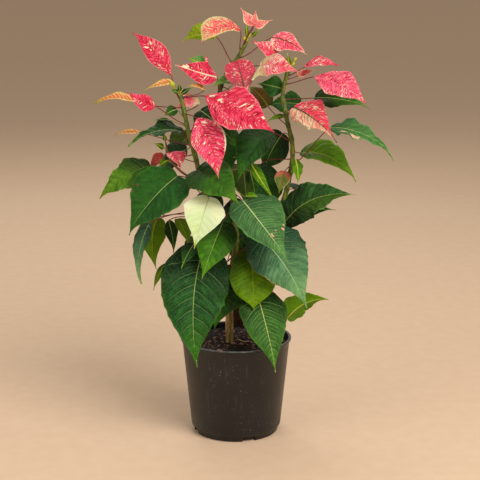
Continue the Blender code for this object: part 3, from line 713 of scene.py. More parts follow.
# %% Shape
class Shape:
    """The points and faces of one piece, with the blade map of its points."""

    def __init__(self, seed=0.0):
        self.points, self.faces, self.finishes = [], [], []
        self.place, self.size = [], []
        self.count = 0
        self.seed = seed

    def add(self, points, faces, finish, place=(0, 0, 1), size=(0, 0, 0)):
        """Adds points and faces that count from their own first point."""
        points = np.asarray(points, dtype=float).reshape(-1, 3)
        self.points.append(points)
        self.faces += [[index + self.count for index in face] for face in faces]
        self.finishes += [finish] * len(faces)
        self.place.append(np.broadcast_to(place, points.shape))
        self.size.append(np.broadcast_to(size, points.shape))
        self.count += len(points)

    def make(self, name, finishes, sharp=55):
        """Makes the object, which rides on the plant's root body and takes its finishes by name."""
        mesh = bpy.data.meshes.new(name)
        mesh.from_pydata((np.concatenate(self.points) * MM).tolist(), [], self.faces)
        mesh.polygons.foreach_set("material_index", self.finishes)
        for label, values in (("leaf_place", self.place), ("leaf_size", self.size)):
            values = np.concatenate(values).astype(np.float32)
            mesh.attributes.new(label, "FLOAT_VECTOR", "POINT").data.foreach_set("vector", values.ravel())
        seeds = np.full(self.count, self.seed, dtype=np.float32)
        mesh.attributes.new("leaf_seed", "FLOAT", "POINT").data.foreach_set("value", seeds)
        for finish in finishes:
            mesh.materials.append(FINISHES[finish])
        mesh.shade_smooth()
        mesh.set_sharp_from_angle(angle=math.radians(sharp))
        piece = bpy.data.objects.new(name, mesh)
        bpy.context.scene.collection.objects.link(piece)
        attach(piece, "root")
        return piece


# %% Directions and curves
def unit(vector):
    """Vectors at length one."""
    vector = np.asarray(vector, dtype=float)
    return vector / np.linalg.norm(vector, axis=-1, keepdims=True)


def across(vector, direction):
    """The part of a vector that is square to a direction, at length one."""
    vector = np.asarray(vector, dtype=float)
    return unit(vector - np.sum(vector * direction, axis=-1, keepdims=True) * direction)


def bezier(points, t):
    """Points and directions along a Bezier curve at an array of shares t."""
    t = np.asarray(t, dtype=float)[..., None]
    levels = [np.asarray(point, dtype=float) + 0 * t for point in points]
    while len(levels) > 2:
        levels = [first + (second - first) * t for first, second in zip(levels, levels[1:])]
    return levels[0] + (levels[1] - levels[0]) * t, unit(levels[1] - levels[0])


def rise(value, low, high):
    """A soft step from 0 at low to 1 at high."""
    share = np.clip((value - low) / (high - low), 0, 1)
    return share * share * (3 - 2 * share)


def ripple(first, second, seed):
    """Gentle unevenness between about -1 and 1 over two coordinates."""
    total = 0
    for turn in (1, 2, 3):
        angle = 2.4 * turn + seed
        wave = first * math.cos(angle) + second * math.sin(angle)
        total = total + np.sin(1.7 * turn * wave + seed * turn) / turn
    return total / 1.8


def tube(shape, centres, radii, finish, sides=10, start=0.0, along=None):
    """A round tube through centres, closed at both ends, with its distance along the blade as its map."""
    centres, radii = np.asarray(centres, dtype=float), np.asarray(radii, dtype=float)
    directions = unit(np.gradient(centres, axis=0))
    steps = np.linalg.norm(np.diff(centres, axis=0), axis=1)
    distance = start + np.concatenate(([0], np.cumsum(steps)))
    angles = np.linspace(0, 2 * math.pi, sides, endpoint=False)[:, None]
    normal = np.eye(3)[np.argmin(abs(directions[0]))]
    rings = []
    for centre, direction, radius in zip(centres, directions, radii):
        normal = across(normal, direction)
        side = np.cross(direction, normal)
        rings.append(centre + radius * (np.cos(angles) * normal + np.sin(angles) * side))
    last = (len(rings) - 1) * sides
    faces = [list(range(sides))[::-1], list(range(last, last + sides))]
    for low in range(0, last, sides):
        for turn in range(sides):
            after = (turn + 1) % sides
            faces.append([low + turn, low + after, low + sides + after, low + sides + turn])
    place = np.zeros((len(rings) * sides, 3))
    place[:, 1] = np.repeat(along if along is not None else np.zeros(len(rings)), sides)
    place[:, 2] = 1
    size = np.zeros((len(rings) * sides, 3))
    size[:, 1] = np.repeat(distance, sides)
    shape.add(rings, faces, finish, place, size)


print("mesh helpers ready")

# %% [markdown]
# ## Stems
#
# A stem follows a smooth curve through a few points. Where a leaf leaves it, the stem swells into a node, and
# a side stem grows out of a thicker collar. Without these swellings a stem looks like bent wire.

# %% The stems' own values
SOIL_TOP = 98.5
STEM_STEP = 1.5
STEM_SIDES = 14
NODE_SWELLING = 0.2
NODE_REACH = 2.4

Stem = namedtuple("Stem", "name parent height radius_low radius_top points finish slot")
CENTRE, LEFT, RIGHT, SHOOT = "stem_centre", "stem_left", "stem_right", "side_shoot"
STEMS = (
    Stem("trunk", None, 0, 4.5, 4.1, ((-7, 0, 88), (-7, 0, 115), (-7, 0, 140), (-6, 0, 163)), "bark", "bark"),
    Stem(CENTRE, None, 0, 3.8, 1.9,
         ((-6, 0, 158), (-5.6, 0.3, 170), (-3, 2, 185), (0, 4, 211), (-3, 8, 254), (-9, 12, 296),
          (-15, 14, 339), (-17, 16, 368), (-8, 18, 391), (2, 20, 404), (12, 20, 421)),
         "green_stem", "green_stem"),
    Stem(LEFT, "trunk", 148, 3.1, 2.0,
         ((-17, -7, 156), (-19, -11, 172), (-20, -13, 189), (-25, -17, 231), (-34, -22, 270),
          (-41, -26, 302), (-47, -27, 325), (-50, -27, 338), (-54, -26, 357), (-57, -24, 371)),
         "green_stem", "green_stem"),
    Stem(RIGHT, "trunk", 140, 3.2, 2.0,
         ((4, -3, 149), (10, -4, 166), (17, -4, 188), (34, -5, 221), (46, -7, 246), (53, -8, 265),
          (59, -8, 296), (59, -8, 317), (54, -7, 339), (51, -6, 355), (49, -4, 370), (56, -2, 398)),
         "green_stem", "green_stem"),
    Stem(SHOOT, LEFT, 284, 1.3, 0.9, ((-50, -18, 284), (-61, -12, 291), (-70, -8, 302), (-74, -5, 320)),
         "red_stem", "green_stem"),
)


# %% Routes and seats
def smooth_route(points):
    """Closely spaced points along a smooth curve through the given points."""
    points = [np.asarray(point, dtype=float) for point in points]
    padded = [2 * points[0] - points[1], *points, 2 * points[-1] - points[-2]]
    route = [points[0]]
    for before, start, end, after in zip(padded, padded[1:], padded[2:], padded[3:]):
        pieces = max(1, round(np.linalg.norm(end - start) / STEM_STEP))
        for piece in range(1, pieces + 1):
            t = piece / pieces
            route.append(0.5 * (2 * start + (end - before) * t
                                + (2 * before - 5 * start + 4 * end - after) * t ** 2
                                + (3 * start - before - 3 * end + after) * t ** 3))
    return np.array(route)


def seat(stem, height, target):
    """Where a stalk leaves a stem at a height towards a target: a point on its skin, and the way out."""
    route = routes[stem.name]
    index = max(i for i, point in enumerate(route[:-1]) if point[2] <= height)
    low, top = route[index], route[index + 1]
    share = min((height - low[2]) / (top[2] - low[2]), 1)
    centre = low + share * (top - low)
    radius = stem.radius_low + (stem.radius_top - stem.radius_low) * (index + share) / (len(route) - 1)
    outward = across(np.asarray(target, dtype=float) - centre, unit(top - low))
    return centre + outward * radius, outward


routes = {}
stems = {stem.name: stem for stem in STEMS}
for stem in STEMS:
    points = list(stem.points)
    if stem.parent:
        start, outward = seat(stems[stem.parent], stem.height, points[0])
        points = [start - outward * 2, start + outward * stem.radius_low, *points]
    routes[stem.name] = smooth_route(points)
print("stem lengths", {name: round(len(route) * STEM_STEP) for name, route in routes.items()})

# %% [markdown]
# ## How a leaf is built
#
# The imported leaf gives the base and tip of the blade, the direction its upper side faces, how far the rib
# bows, and an outline. The detailed blade keeps all of these. Its rows don't run straight across, though:
# they bend forward towards the tip, as the side veins do, so that the surface can puff up between two veins
# and the edge can wave freely. The blade is a closed sheet four tenths of a millimetre thick.
#
# The stalk and the rib are one tapering tube. It starts inside the stem, reaches the blade, and runs on
# under it, as in the living leaf.

# %% Leaf rows
VEIN_SWEEP = 0.35
ROW_SWEEP = 0.22
ROW_STEP = 1.1
COLUMN_STEP = 1.25
CREST = 0.42
BLADE_THICKNESS = 0.42
EDGE_THICKNESS = 0.14
TIP_WIDTH = 0.3
STALK_REACH = 0.35

BROAD = (0.26, 0.5, 1.35)
OVATE = (0.3, 0.6, 1.2)
POINTED = (0.36, 0.85, 1.3)
STARRY = (0.34, 1.1, 0.8)
ROUND = (0.5, 0.6, 2.0)
LANCE = (0.42, 1.15, 1.35)
NARROW = (0.34, 0.7, 0.95)
TAILED = (0.28, 0.65, 0.85)
PADDLE = (0.6, 0.8, 2.4)

Leaf = namedtuple("Leaf", "name stem height base tip width face arch fold bend outline look veins habit",
                  defaults=(8, {}))
Habit = namedtuple("Habit", "puff wave waves sag curl twist lobes teeth heart notch sides stalk stalk_radius",
                   defaults=(0.09, 0.03, 2.7, 9, 0.03, 0, (), 0.03, 0.3, 0.0, (1, 1), "stalk_red", 0.54))


def half_width(leaf, t):
    """Half of the blade's width at shares t of its midrib: rounded base, full sides, drawn-out tip."""
    widest, base_power, tip_power = leaf.outline
    low = np.clip(t / widest, 0, 1)
    high = np.clip((t - widest) / (1 - widest), 0, 1)
    rounded = (1 - (1 - low) ** 2) ** base_power
    drawn = 0.34 * (1 + np.cos(math.pi * high ** tip_power)) + 0.32 * (1 - high)
    return leaf.width / 2 * rounded * drawn


def rib_line(leaf):
    """The midrib's control points, and the blade's upper direction."""
    base, tip = np.array(leaf.base, dtype=float), np.array(leaf.tip, dtype=float)
    chord = tip - base
    up = across(leaf.face, unit(chord))
    side = np.cross(unit(chord), up)
    crest = base + chord * CREST + up * 2 * leaf.arch + side * 2 * leaf.bend
    return (base, crest, tip), up


# %% Blade
def grow_blade(shape, leaf, habit):
    """The blade as a closed thin sheet, with its map."""
    rib, up = rib_line(leaf)
    length = np.linalg.norm(rib[2] - rib[0]) * 1.04
    row_count = max(16, round(length / ROW_STEP))
    column_count = 2 * max(4, round(leaf.width / 2 / COLUMN_STEP)) + 1
    even = np.linspace(0, 1, row_count)
    row = np.clip(even - 0.1 * np.sin(2 * math.pi * even), 0.0004, 0.9994)[:, None]
    share = np.linspace(-1, 1, column_count)[None, :]
    out = abs(share)
    t = row + ROW_SWEEP * rise(row, 0.0, 0.22) * (1 - row) ** 0.85 * out ** 1.3

    centre, along = bezier(rib, t)
    normal = across(up, along)
    side = np.cross(along, normal)
    width = np.maximum(half_width(leaf, np.clip(t, 0, 1)), TIP_WIDTH)
    swell = 0.03 * ripple(3.0 * t, 2.0 * np.sign(share), shape.seed)
    for place, reach, breadth, edge in habit.lobes:
        on_edge = 1.0 if edge == 0 else (np.sign(share) == edge)
        swell = swell + reach * np.exp(-((t - place) / breadth) ** 2) * on_edge
    phase = row * leaf.veins + 0.5 * (share < 0)
    between = abs(np.sin(math.pi * phase)) ** 0.7
    swell = swell + habit.teeth * (0.6 - between) * (1 + 0.5 * ripple(9.0 * t, np.sign(share), shape.seed))
    width = width * np.where(share < 0, habit.sides[0], habit.sides[1])
    width = width * (1 + swell * rise(t, 0, 0.08) * (1 - rise(t, 0.9, 1)))

    tilt = math.radians(leaf.fold)
    steep = math.radians(leaf.fold + habit.sag)
    height = width * (out * math.sin(steep) - out ** 2 * (math.sin(steep) - math.sin(tilt)))
    puff = habit.puff * length / leaf.veins
    height = height + puff * (between - 0.5) * rise(out, 0, 0.15) * (1 - rise(out, 0.75, 1))
    turn = 2 * math.pi * habit.waves * t + np.where(share < 0, 1.9, 0.4) + shape.seed
    free = rise(t, 0, 0.15) * out ** 2.5
    height = height + 2.2 * habit.wave * width * (np.sin(turn) + 0.4 * np.sin(2.6 * turn + 1)) * free
    height = height + 0.025 * length * ripple(1.4 * share, 2.6 * t, shape.seed + 1) * out * rise(t, 0, 0.2)
    height = height - habit.curl * length * rise(t, 0.7, 1.1) ** 2 * 2
    twist = np.radians(habit.twist + 4 * math.sin(shape.seed)) * t
    flat = share * width * math.cos(tilt)
    reach = out * width
    forward = (VEIN_SWEEP * np.minimum(t / 0.1, 1.0) * (1 - t) - habit.heart * (1 - rise(t, 0, 0.4))
               + habit.notch * rise(t, 0.6, 1))
    grid = (centre + side * (flat * np.cos(twist) - height * np.sin(twist))[..., None]
            + normal * (height * np.cos(twist) + flat * np.sin(twist))[..., None]
            + along * (reach * forward)[..., None])

    slope = np.cross(np.gradient(grid, axis=1), np.gradient(grid, axis=0))
    slope = slope / np.maximum(np.linalg.norm(slope, axis=-1, keepdims=True), 1e-9)
    thick = (EDGE_THICKNESS + (BLADE_THICKNESS - EDGE_THICKNESS) * (1 - out ** 4))[..., None] / 2
    sheets = np.stack((grid + slope * thick, grid - slope * thick))

    faces = []
    under = row_count * column_count
    for low in range(row_count - 1):
        for left in range(column_count - 1):
            corner = low * column_count + left
            above = corner + column_count
            faces.append([corner, corner + 1, above + 1, above])
            faces.append([under + corner, under + above, under + above + 1, under + corner + 1])
        first, last = low * column_count, low * column_count + column_count - 1
        next_first, next_last = first + column_count, last + column_count
        faces.append([first, next_first, under + next_first, under + first])
        faces.append([last, under + last, under + next_last, next_last])
    end = (row_count - 1) * column_count
    for left in range(column_count - 1):
        faces.append([left, under + left, under + left + 1, left + 1])
        faces.append([end + left, end + left + 1, under + end + left + 1, under + end + left])

    from_rib = share * width
    distance = np.broadcast_to(row * length, t.shape)
    place = np.stack([np.stack((np.broadcast_to(share, t.shape), np.broadcast_to(row, t.shape),
                                np.full(t.shape, upper)), axis=-1) for upper in (1.0, -1.0)])
    size = np.stack((from_rib, distance, np.broadcast_to(row * leaf.veins, t.shape)), axis=-1)
    shape.add(sheets, faces, 0, place.reshape(-1, 3), np.stack((size, size)).reshape(-1, 3))
    return length


# %% Stalk and rib
def grow_stalk(shape, leaf, habit, length):
    """One tapering tube: the stalk out of the stem, then the rib under the blade."""
    rib, up = rib_line(leaf)
    start, outward = seat(stems[leaf.stem], leaf.height, leaf.base)
    _, along = bezier(rib, 0.0)
    reach = np.linalg.norm(rib[0] - start) * STALK_REACH
    toward = unit(rib[0] - start)
    bends = (start, start + unit(outward + 2.5 * toward) * reach,
             rib[0] - unit(along + 2.0 * toward) * reach, rib[0])
    stalk_share = np.linspace(0, 1, max(8, round(reach / STALK_REACH / 1.6)))
    stalk, _ = bezier(bends, stalk_share)
    rib_share = np.linspace(0, 0.93, max(10, round(length / 1.8)))[1:]
    under, direction = bezier(rib, rib_share)
    normal = across(up, direction)
    rib_radius = habit.stalk_radius * (0.85 - 0.6 * rib_share)
    drop = habit.curl * length * rise(rib_share, 0.7, 1.1) ** 2 * 2
    under = under - normal * (rib_radius * 0.75 * rise(rib_share, 0, 0.06) + drop)[:, None]
    centres = np.concatenate(([start - outward * 1.2], stalk, under))
    stalk_radius = habit.stalk_radius * (1 + 0.55 * (1 - rise(stalk_share * reach / STALK_REACH, 0, 4))
                                         - 0.15 * stalk_share)
    radii = np.concatenate(([stalk_radius[0]], stalk_radius, rib_radius))
    stalk_length = np.sum(np.linalg.norm(np.diff(centres[:len(stalk) + 1], axis=0), axis=1))
    places = np.concatenate((np.zeros(len(stalk) + 1), rib_share))
    tube(shape, centres, radii, 1, sides=8, start=-stalk_length, along=places)


def make_leaf(leaf, index, replaces=True):
    """A whole leaf as one piece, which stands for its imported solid."""
    habit = Habit(**leaf.habit)
    shape = Shape(seed=index * 3.7)
    length = grow_blade(shape, leaf, habit)
    grow_stalk(shape, leaf, habit, length)
    finishes = (leaf.look, stalk_finish(habit.stalk, leaf.look))
    piece = shape.make(leaf.name + "_blade_and_stalk", finishes)
    if replaces:
        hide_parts(leaf.name)
    return piece


print("leaf builder ready")

# %% [markdown]
# ## The coloured bracts
#
# What looks like the flower of a poinsettia is a ring of coloured leaves, called bracts. They sit on the tops
# of the three shoots. Each row here repeats a packed leaf, and adds its look, its number of side veins, and
# any habit that sets it apart, such as deep puffing between the veins or pointed lobes.

# %% Bract rows
BRACTS = (
    Leaf("bract_crown", CENTRE, 417, (18, 18, 437), (5, 20, 456), 12, (0, -8, 3), 1, 5, 0, STARRY,
         "bract_crown", 5, {"puff": 0.04, "teeth": 0.0}),
    Leaf("bract_back_left", CENTRE, 398, (-21, 45, 424), (-59, 58, 418), 32, (0, -8, 4), 2, 8, 4, BROAD,
         "leaf_lime", 8, {"sides": (0.4, 0.95), "heart": 0.0}),
    Leaf("bract_dome", CENTRE, 411, (5, 15, 432), (-36, -8, 422), 31, (-1, -7, 6), 8, -10, 5, ROUND,
         "bract_dome", 9, {"heart": 0.0, "wave": 0.0, "sides": (0.45, 1.3)}),
    Leaf("bract_top_right", CENTRE, 405, (38, 19, 425), (77, 1, 407), 28, (2, -8, 6), 4, 8, -1, TAILED,
         "bract_olive_rib", 9, {"heart": 0.0, "curl": 0.03, "sides": (0.8, 1.25)}),
    Leaf("bract_pale", RIGHT, 393, (44, 5, 406), (17, -4, 423), 22, (-2, -6, 6), 3, 8, -1, OVATE,
         "bract_pink", 7, {"heart": 0.0}),
    Leaf("bract_mottled", CENTRE, 396, (25, -8, 398), (64, -37, 395), 28, (1, -8, 5), 4, 6, 0, OVATE,
         "bract_mottled", 9, {"heart": 0.4, "lobes": ((0.1, 1.3, 0.05, 1), (0.4, 0.2, 0.06, 1))}),
    Leaf("bract_upright", CENTRE, 374, (10, -18, 371), (1, -1, 402), 33, (0, 8, -5), -5, 8, 0, PADDLE,
         "bract_dusky", 9, {"heart": 0.0, "notch": 0.9}),
    Leaf("bract_front", LEFT, 366, (-31, -40, 370), (39, -76, 340), 50, (1, -9, 6), 4, 4, 1, LANCE,
         "bract_front", 12, {"puff": 0.12, "heart": -0.1, "teeth": 0.015, "stalk_radius": 0.6, "lobes": ((0.24, 0.12, 0.14, -1),)}),
    Leaf("bract_hanging", LEFT, 350, (-39, -46, 348), (-17, -69, 289), 36, (1, -9, 3), 7, 6, -3, POINTED,
         "bract_hanging", 11, {"puff": 0.1, "heart": 0.0, "teeth": 0.02}),
    Leaf("bract_middle_left", CENTRE, 366, (-20, 4, 385), (-62, -18, 400), 25, (0, -9, 4), 3, 8, -2, POINTED,
         "bract_forked", 9, {"heart": 0.0, "lobes": ((0.3, 0.7, 0.03, 1),)}),
    Leaf("bract_upper_left", LEFT, 364, (-67, -12, 388), (-108, 6, 432), 25, (-3, -8, 5), 4, 8, 3, LANCE,
         "bract_upper", 10, {"heart": 0.0, "sides": (0.8, 1.0)}),
    Leaf("bract_behind_left", LEFT, 352, (-38, -2, 360), (-62, -6, 354), 18, (0, -5, 8), 3, 8, 0, OVATE,
         "bract_mottled", 7, {"sides": (1.3, 1.5), "heart": 0.0}),
    Leaf("bract_right_small", RIGHT, 388, (71, -6, 396), (108, -18, 398), 24, (0, -4, 9), 4, 10, 0, OVATE,
         "bract_crimson", 8, {"heart": 0.0, "sides": (1.1, 0.6), "curl": -0.02}),
    Leaf("bract_right", RIGHT, 379, (81, -14, 387), (133, -42, 364), 40, (2, -8, 7), 5, 5, 0, LANCE,
         "bract_rose", 11, {"heart": 0.0, "sides": (1.0, 0.88)}),
    Leaf("bract_striped", RIGHT, 346, (59, -20, 356), (104, -50, 325), 38, (2, -8, 6), 6, 6, 0, TAILED,
         "bract_striped", 8, {"heart": 0.1, "sides": (1.15, 0.95), "wave": 0.05, "lobes": ((0.3, 0.15, 0.05, 1), (0.55, 0.3, 0.05, 1))}),
    Leaf("bract_far_left", LEFT, 357, (-102, -14, 360), (-148, -4, 360), 18, (0, -4, 9), 5, 15, 0, POINTED,
         "bract_peach", 11, {"heart": 0.0, "sides": (0.5, 1.1), "teeth": 0.0}),
    Leaf("bract_left_low", LEFT, 340, (-82, -36, 359), (-110, -48, 375), 17, (-1, -9, 3), 3, 8, -2, POINTED,
         "bract_crimson", 8, {"heart": 0.0}),
    Leaf("bract_curled", SHOOT, 306, (-68, -30, 310), (-57, -40, 294), 17, (5, -6, 4), 6, 8, 0, OVATE,
         "bract_pink", 7, {"sides": (1.4, 1.2)}),
)

# %% Green leaf rows
LEAVES = (
    Leaf("leaf_shaded", LEFT, 330, (-37, -12, 352), (4, -38, 314), 42, (2, -8, 5), 6, 6, 0, OVATE,
         "leaf_deep"),
    Leaf("leaf_centre", RIGHT, 321, (38, -24, 330), (1, -54, 284), 46, (-2, -8, 5), 8, 6, 3, OVATE,
         "leaf_shade", 10, {"sides": (0.68, 1.0)}),
    Leaf("leaf_behind_right", RIGHT, 324, (50, 16, 324), (30, 28, 280), 40, (-2, -8, 5), 6, 8, 0, OVATE,
         "leaf_deep"),
    Leaf("leaf_front_right", CENTRE, 262, (7, -50, 264), (54, -90, 209), 57, (2, -8, 6), 8, 6, 3, BROAD,
         "leaf_veined", 12, {"heart": 0.35, "teeth": 0.02, "sides": (1.08, 0.88)}),
    Leaf("leaf_under_front", RIGHT, 238, (23, -34, 224), (74, -66, 154), 58, (-1, -8, 6), 9, 8, -4, BROAD,
         "leaf_bluish", 12, {"heart": 0.35, "teeth": 0.05, "wave": 0.05, "sides": (1.1, 1.0)}),
    Leaf("leaf_yellowing", RIGHT, 200, (15, -24, 207), (19, -56, 149), 56, (1, -9, 4), 6, 4, 0, ROUND,
         "leaf_olive", 12, {"teeth": 0.03, "sides": (0.9, 0.9)}),
    Leaf("leaf_over_pot", RIGHT, 172, (22, -34, 162), (42, -76, 88), 50, (1, -9, 5), 7, 6, 0, BROAD,
         "leaf_low", 10, {"teeth": 0.04}),
    Leaf("leaf_low_right", RIGHT, 160, (56, 10, 121), (101, 20, 142), 40, (0, 7, 5), 4, 8, 5, BROAD,
         "leaf_bright"),
    Leaf("leaf_big_left", LEFT, 222, (-34, -38, 209), (-40, -78, 93), 74, (-1, -9, 3), 9, 5, 6, BROAD,
         "leaf_big", 9, {"heart": 0.4, "teeth": 0.05}),
    Leaf("leaf_by_trunk", CENTRE, 209, (-10, -16, 188), (-23, -34, 121), 44, (0, -9, 4), 5, 6, 0, OVATE,
         "leaf_specked", 9, {"sides": (1.35, 1.0)}),
    Leaf("leaf_cream", LEFT, 256, (-27, -58, 269), (-42, -80, 220), 40, (0, -9, 4), 6, 6, 0, OVATE,
         "leaf_cream", 8, {"lobes": ((0.26, 0.1, 0.05, 0),), "teeth": 0.0, "puff": 0.04}),
    Leaf("leaf_above_cream", LEFT, 302, (-40, -46, 295), (5, -82, 266), 48, (1, -8, 7), 6, 6, 0, BROAD,
         "leaf_red_rib", 10, {"heart": 0.4}),
    Leaf("leaf_far_left", LEFT, 280, (-60, -36, 287), (-112, -50, 228), 62, (-4, -8, 5), 7, 6, 0, BROAD,
         "leaf_plain", 12, {"heart": 0.4, "teeth": 0.01, "lobes": ((0.12, 0.15, 0.08, -1), (0.35, 0.12, 0.1, 1))}),
    Leaf("leaf_leftmost", LEFT, 308, (-91, 8, 291), (-149, 16, 254), 34, (-2, -8, 6), 7, 10, 0, OVATE,
         "leaf_two_green", 9, {"wave": 0.07, "waves": 3.2}),
    Leaf("leaf_left_narrow", LEFT, 250, (-91, -8, 232), (-103, -16, 166), 24, (-6, -7, 3), 8, 12, 0, TAILED,
         "leaf_bluish"),
    Leaf("leaf_left_olive", LEFT, 244, (-84, 14, 233), (-88, 28, 173), 32, (-2, 8, 4), 6, 6, -4, OVATE,
         "leaf_olive"),
    Leaf("leaf_left_dark", LEFT, 238, (-72, 4, 232), (-67, 12, 194), 15, (3, -8, 3), 3, 8, 0, TAILED,
         "leaf_deep"),
    Leaf("leaf_left_folded", LEFT, 232, (-62, -8, 236), (-50, -2, 205), 20, (4, 8, 3), 3, 14, 0, OVATE,
         "leaf_olive"),
    Leaf("leaf_below_cream", CENTRE, 246, (-13, -42, 240), (-35, -72, 186), 42, (0, -8, 5), 6, 6, 0, BROAD,
         "leaf_fresh", 9),
    Leaf("leaf_small_dark", LEFT, 224, (-43, -42, 217), (-56, -66, 197), 17, (-1, -8, 5), 2, 8, 0, OVATE,
         "leaf_deep"),
    Leaf("leaf_right_bright", RIGHT, 308, (69, 10, 304), (128, -14, 278), 42, (2, -6, 8), 11, 6, -2, OVATE,
         "leaf_right", 9, {"sides": (1.05, 0.65)}),
    Leaf("leaf_hanging_small", RIGHT, 286, (62, -20, 302), (65, -26, 277), 13, (4, -8, 2), 2, 8, 0, OVATE,
         "leaf_bright", 8, {"wave": 0.12, "waves": 3.5, "stalk": "stalk_green"}),
    Leaf("leaf_right_dark", RIGHT, 252, (53, -18, 236), (124, -38, 269), 46, (0, -7, 7), 7, 6, -8, OVATE,
         "leaf_split", 10, {"wave": 0.06, "waves": 3.4, "heart": 0.4}),
    Leaf("leaf_right_long", RIGHT, 296, (98, -22, 335), (164, -54, 310), 28, (2, -6, 8), 8, 6, -2, TAILED,
         "leaf_long", 9, {"wave": 0.09, "waves": 3.6, "curl": 0.06}),
    Leaf("leaf_under_right", RIGHT, 362, (83, 6, 363), (141, -2, 354), 32, (0, -6, 8), 4, 8, 0, TAILED,
         "leaf_middle"),
    Leaf("leaf_behind_top", RIGHT, 350, (68, 18, 355), (34, 32, 353), 32, (0, -6, 7), 2, 8, 0, OVATE,
         "leaf_plain"),
    Leaf("leaf_brown_olive", RIGHT, 336, (34, 26, 352), (14, 42, 372), 28, (0, -7, 6), 4, 8, 0, OVATE,
         "leaf_brown"),
    Leaf("leaf_left_flat", LEFT, 312, (-55, -18, 330), (-112, -28, 318), 32, (0, -3, 9), 6, 8, 4, TAILED,
         "leaf_deep", 8, {"wave": 0.09, "waves": 2.2}),
    Leaf("leaf_behind_curl", LEFT, 318, (-52, 8, 308), (-84, 26, 278), 38, (-3, -6, 7), 5, 6, 0, OVATE,
         "leaf_deep"),
    Leaf("leaf_back_top", CENTRE, 352, (-4, 46, 352), (8, 98, 318), 44, (1, 5, 8), 10, 6, 0, BROAD,
         "leaf_deep"),
    Leaf("leaf_back_upper_left", CENTRE, 326, (-38, 49, 322), (-71, 91, 281), 47, (-3, 5, 8), 9, 6, 0, BROAD,
         "leaf_middle"),
    Leaf("leaf_back_middle", CENTRE, 282, (4, 52, 284), (12, 112, 226), 60, (1, 6, 7), 12, 6, 0, BROAD,
         "leaf_deep", 9),
    Leaf("leaf_back_left", LEFT, 262, (-52, 34, 268), (-84, 86, 222), 54, (-3, 6, 7), 10, 6, 0, BROAD,
         "leaf_deep", 9),
    Leaf("leaf_back_right", RIGHT, 268, (66, 32, 262), (92, 88, 226), 50, (3, 6, 7), 10, 6, 0, BROAD,
         "leaf_middle", 9),
    Leaf("leaf_back_low", CENTRE, 218, (-24, 44, 206), (-34, 92, 146), 60, (-2, 7, 5), 10, 6, 0, BROAD,
         "leaf_deep", 9),
)

grown = [make_leaf(leaf, index) for index, leaf in enumerate(BRACTS + LEAVES)]
print("leaves", len(grown), "faces", sum(len(piece.data.polygons) for piece in grown))
